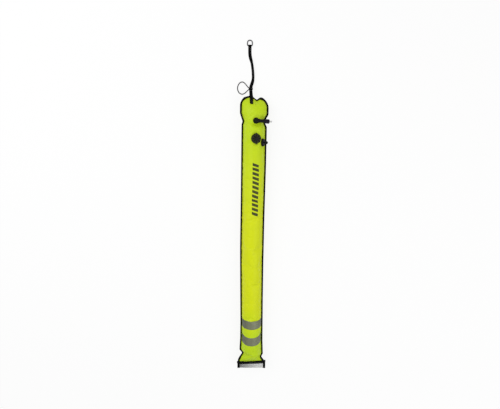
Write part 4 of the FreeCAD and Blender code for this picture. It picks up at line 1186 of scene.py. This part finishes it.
sleeve_uv = uv_grid(sleeve_x[:, None], sleeve_along[None])
sleeve = made("clear_vinyl_sleeve", grid_mesh(sleeve_grid, uv=sleeve_uv), vinyl,
              "light_sleeve")
thickened(sleeve, VINYL_THICK, 0.0, smooth=False)

# The sleeve's tail is bound too, and its black tape shows through the vinyl beside the seam.
TAIL_LENGTH = 0.0085
TAIL_INSIDE = 0.0010                 # of it, under the far binding
TAIL_THICK = 0.0010
TAIL_SHORT = (0.012, 0.007)          # of the sleeve's left and right mouths
tail_x = np.linspace(SLEEVE_LOW.x + TAIL_SHORT[0], SLEEVE_HIGH.x - TAIL_SHORT[1], 60)
tail_section = rounded_box(TAIL_LENGTH + 2 * TAIL_INSIDE, TAIL_THICK, 0.0004, count=4)
tail_y = FAR_Y + TAIL_INSIDE - TAIL_LENGTH / 2 + tail_section[:, 0]
tail_z = SEAM_Z + tail_section[:, 1]
tail_grid = uneven(np.stack(np.broadcast_arrays(tail_x[:, None], tail_y[None], tail_z[None]), -1))
tail_uv = uv_grid(tail_x[:, None], girth(tail_section)[None])
tail = made("sleeve_tail_tape", grid_mesh(tail_grid, around=True, caps=True, uv=tail_uv), binding_tape)

# The cuffs go round the mouths, folded over the vinyl's two edges.
CUFF_THICK = 0.0013
CUFF_CORNER = 0.00055
CUFF_OUT = 0.0007                    # of its middle, from the vinyl's
for side, stretch in zip(("left", "right"), SLEEVE_STRETCH):
    low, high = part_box(f"sleeve_cuff_{side}")
    section = rounded_box(high.x - low.x, CUFF_THICK, CUFF_CORNER, count=4)
    section_x = (low.x + high.x) / 2 + stretch + section[:, 0]
    grid = np.stack([sleeve_points(np.array([x]), CUFF_OUT + lift, 0.0004)[0]
                     for x, lift in zip(section_x, section[:, 1])], 1)
    uv = uv_grid(sleeve_along[:, None], girth(section)[None])
    made(f"cuff_tape_{side}", grid_mesh(grid, around=True, caps=True, uv=uv), binding_tape,
                            f"sleeve_cuff_{side}")

# ---- Inflator and valves ------------------------------------------------------------
# Injection moulded black plastic, spark eroded matt on the bodies and polished on the parts
# that are pressed or pulled, with a turned steel hose nipple.
def moulded(name, colour, smoothest, dullest, grain, relief):
    """Moulded plastic: matt grain as bump, and a roughness that wanders between two values."""
    material, tree, shader = new_material(name)
    place = add_node(tree, "TexCoord", "Object")
    handled = noise(tree, place, 95.0, 3.0)
    pits = noise(tree, place, grain, 4.0)
    connect(tree, shader, {"Base Color": blended(tree, handled, tinted(colour, 0.7), tinted(colour, 1.35)),
                           "Roughness": maths(tree, "MULTIPLY_ADD", handled, dullest - smoothest, smoothest),
                           "Normal": bump(tree, pits, relief, 0.0002), "Specular IOR Level": 0.12})
    return material


def turned_steel():
    """Bright turned steel: fine turning rings across the nipple's line."""
    material, tree, shader = new_material("turned_steel")
    rings = add_node(tree, "TexWave", "Fac", {"Vector": add_node(tree, "TexCoord", "Object"), "Scale": 900.0,
                                              "Distortion": 0.4})
    connect(tree, shader, {"Base Color": (0.70, 0.70, 0.71, 1), "Metallic": 1.0,
                           "Roughness": maths(tree, "MULTIPLY_ADD", rings, 0.12, 0.14),
                           "Normal": bump(tree, rings, 0.10, 0.0001)})
    return material


matt_black = moulded("matt_black_plastic", (0.0055, 0.0055, 0.0060), 0.38, 0.62, 2400.0, 0.35)
gloss_black = moulded("polished_black_plastic", (0.0050, 0.0050, 0.0055), 0.12, 0.30, 700.0, 0.05)
tip_plastic = moulded("tip_plastic", (0.011, 0.006, 0.016), 0.22, 0.40, 1500.0, 0.15)
# Partly painted glint: the vented cap is black plastic, lightened and tinted olive to stand in for its
# yellow-green glints.
cap_with_painted_glint = moulded("vented_cap_painted_glint", (0.020, 0.022, 0.010), 0.30, 0.55, 2400.0, 0.30)
flange_rubber = moulded("flange_rubber", (0.0060, 0.0060, 0.0060), 0.50, 0.72, 1300.0, 0.30)
finishes = {
    "inflator_flange": flange_rubber, "inflator_elbow": matt_black, "inflator_barrel": matt_black,
    "inflator_tip": tip_plastic, "inflator_nipple": turned_steel(),
    "dump_valve_flange": flange_rubber, "dump_valve_cap": cap_with_painted_glint, "dump_valve_button": gloss_black,
    "side_valve_flange": flange_rubber, "side_valve_cap": matt_black, "side_valve_stem": matt_black,
    "side_valve_knob": gloss_black,
}
for node, finish in finishes.items():
    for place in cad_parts[node].material_slots:
        place.material = finish
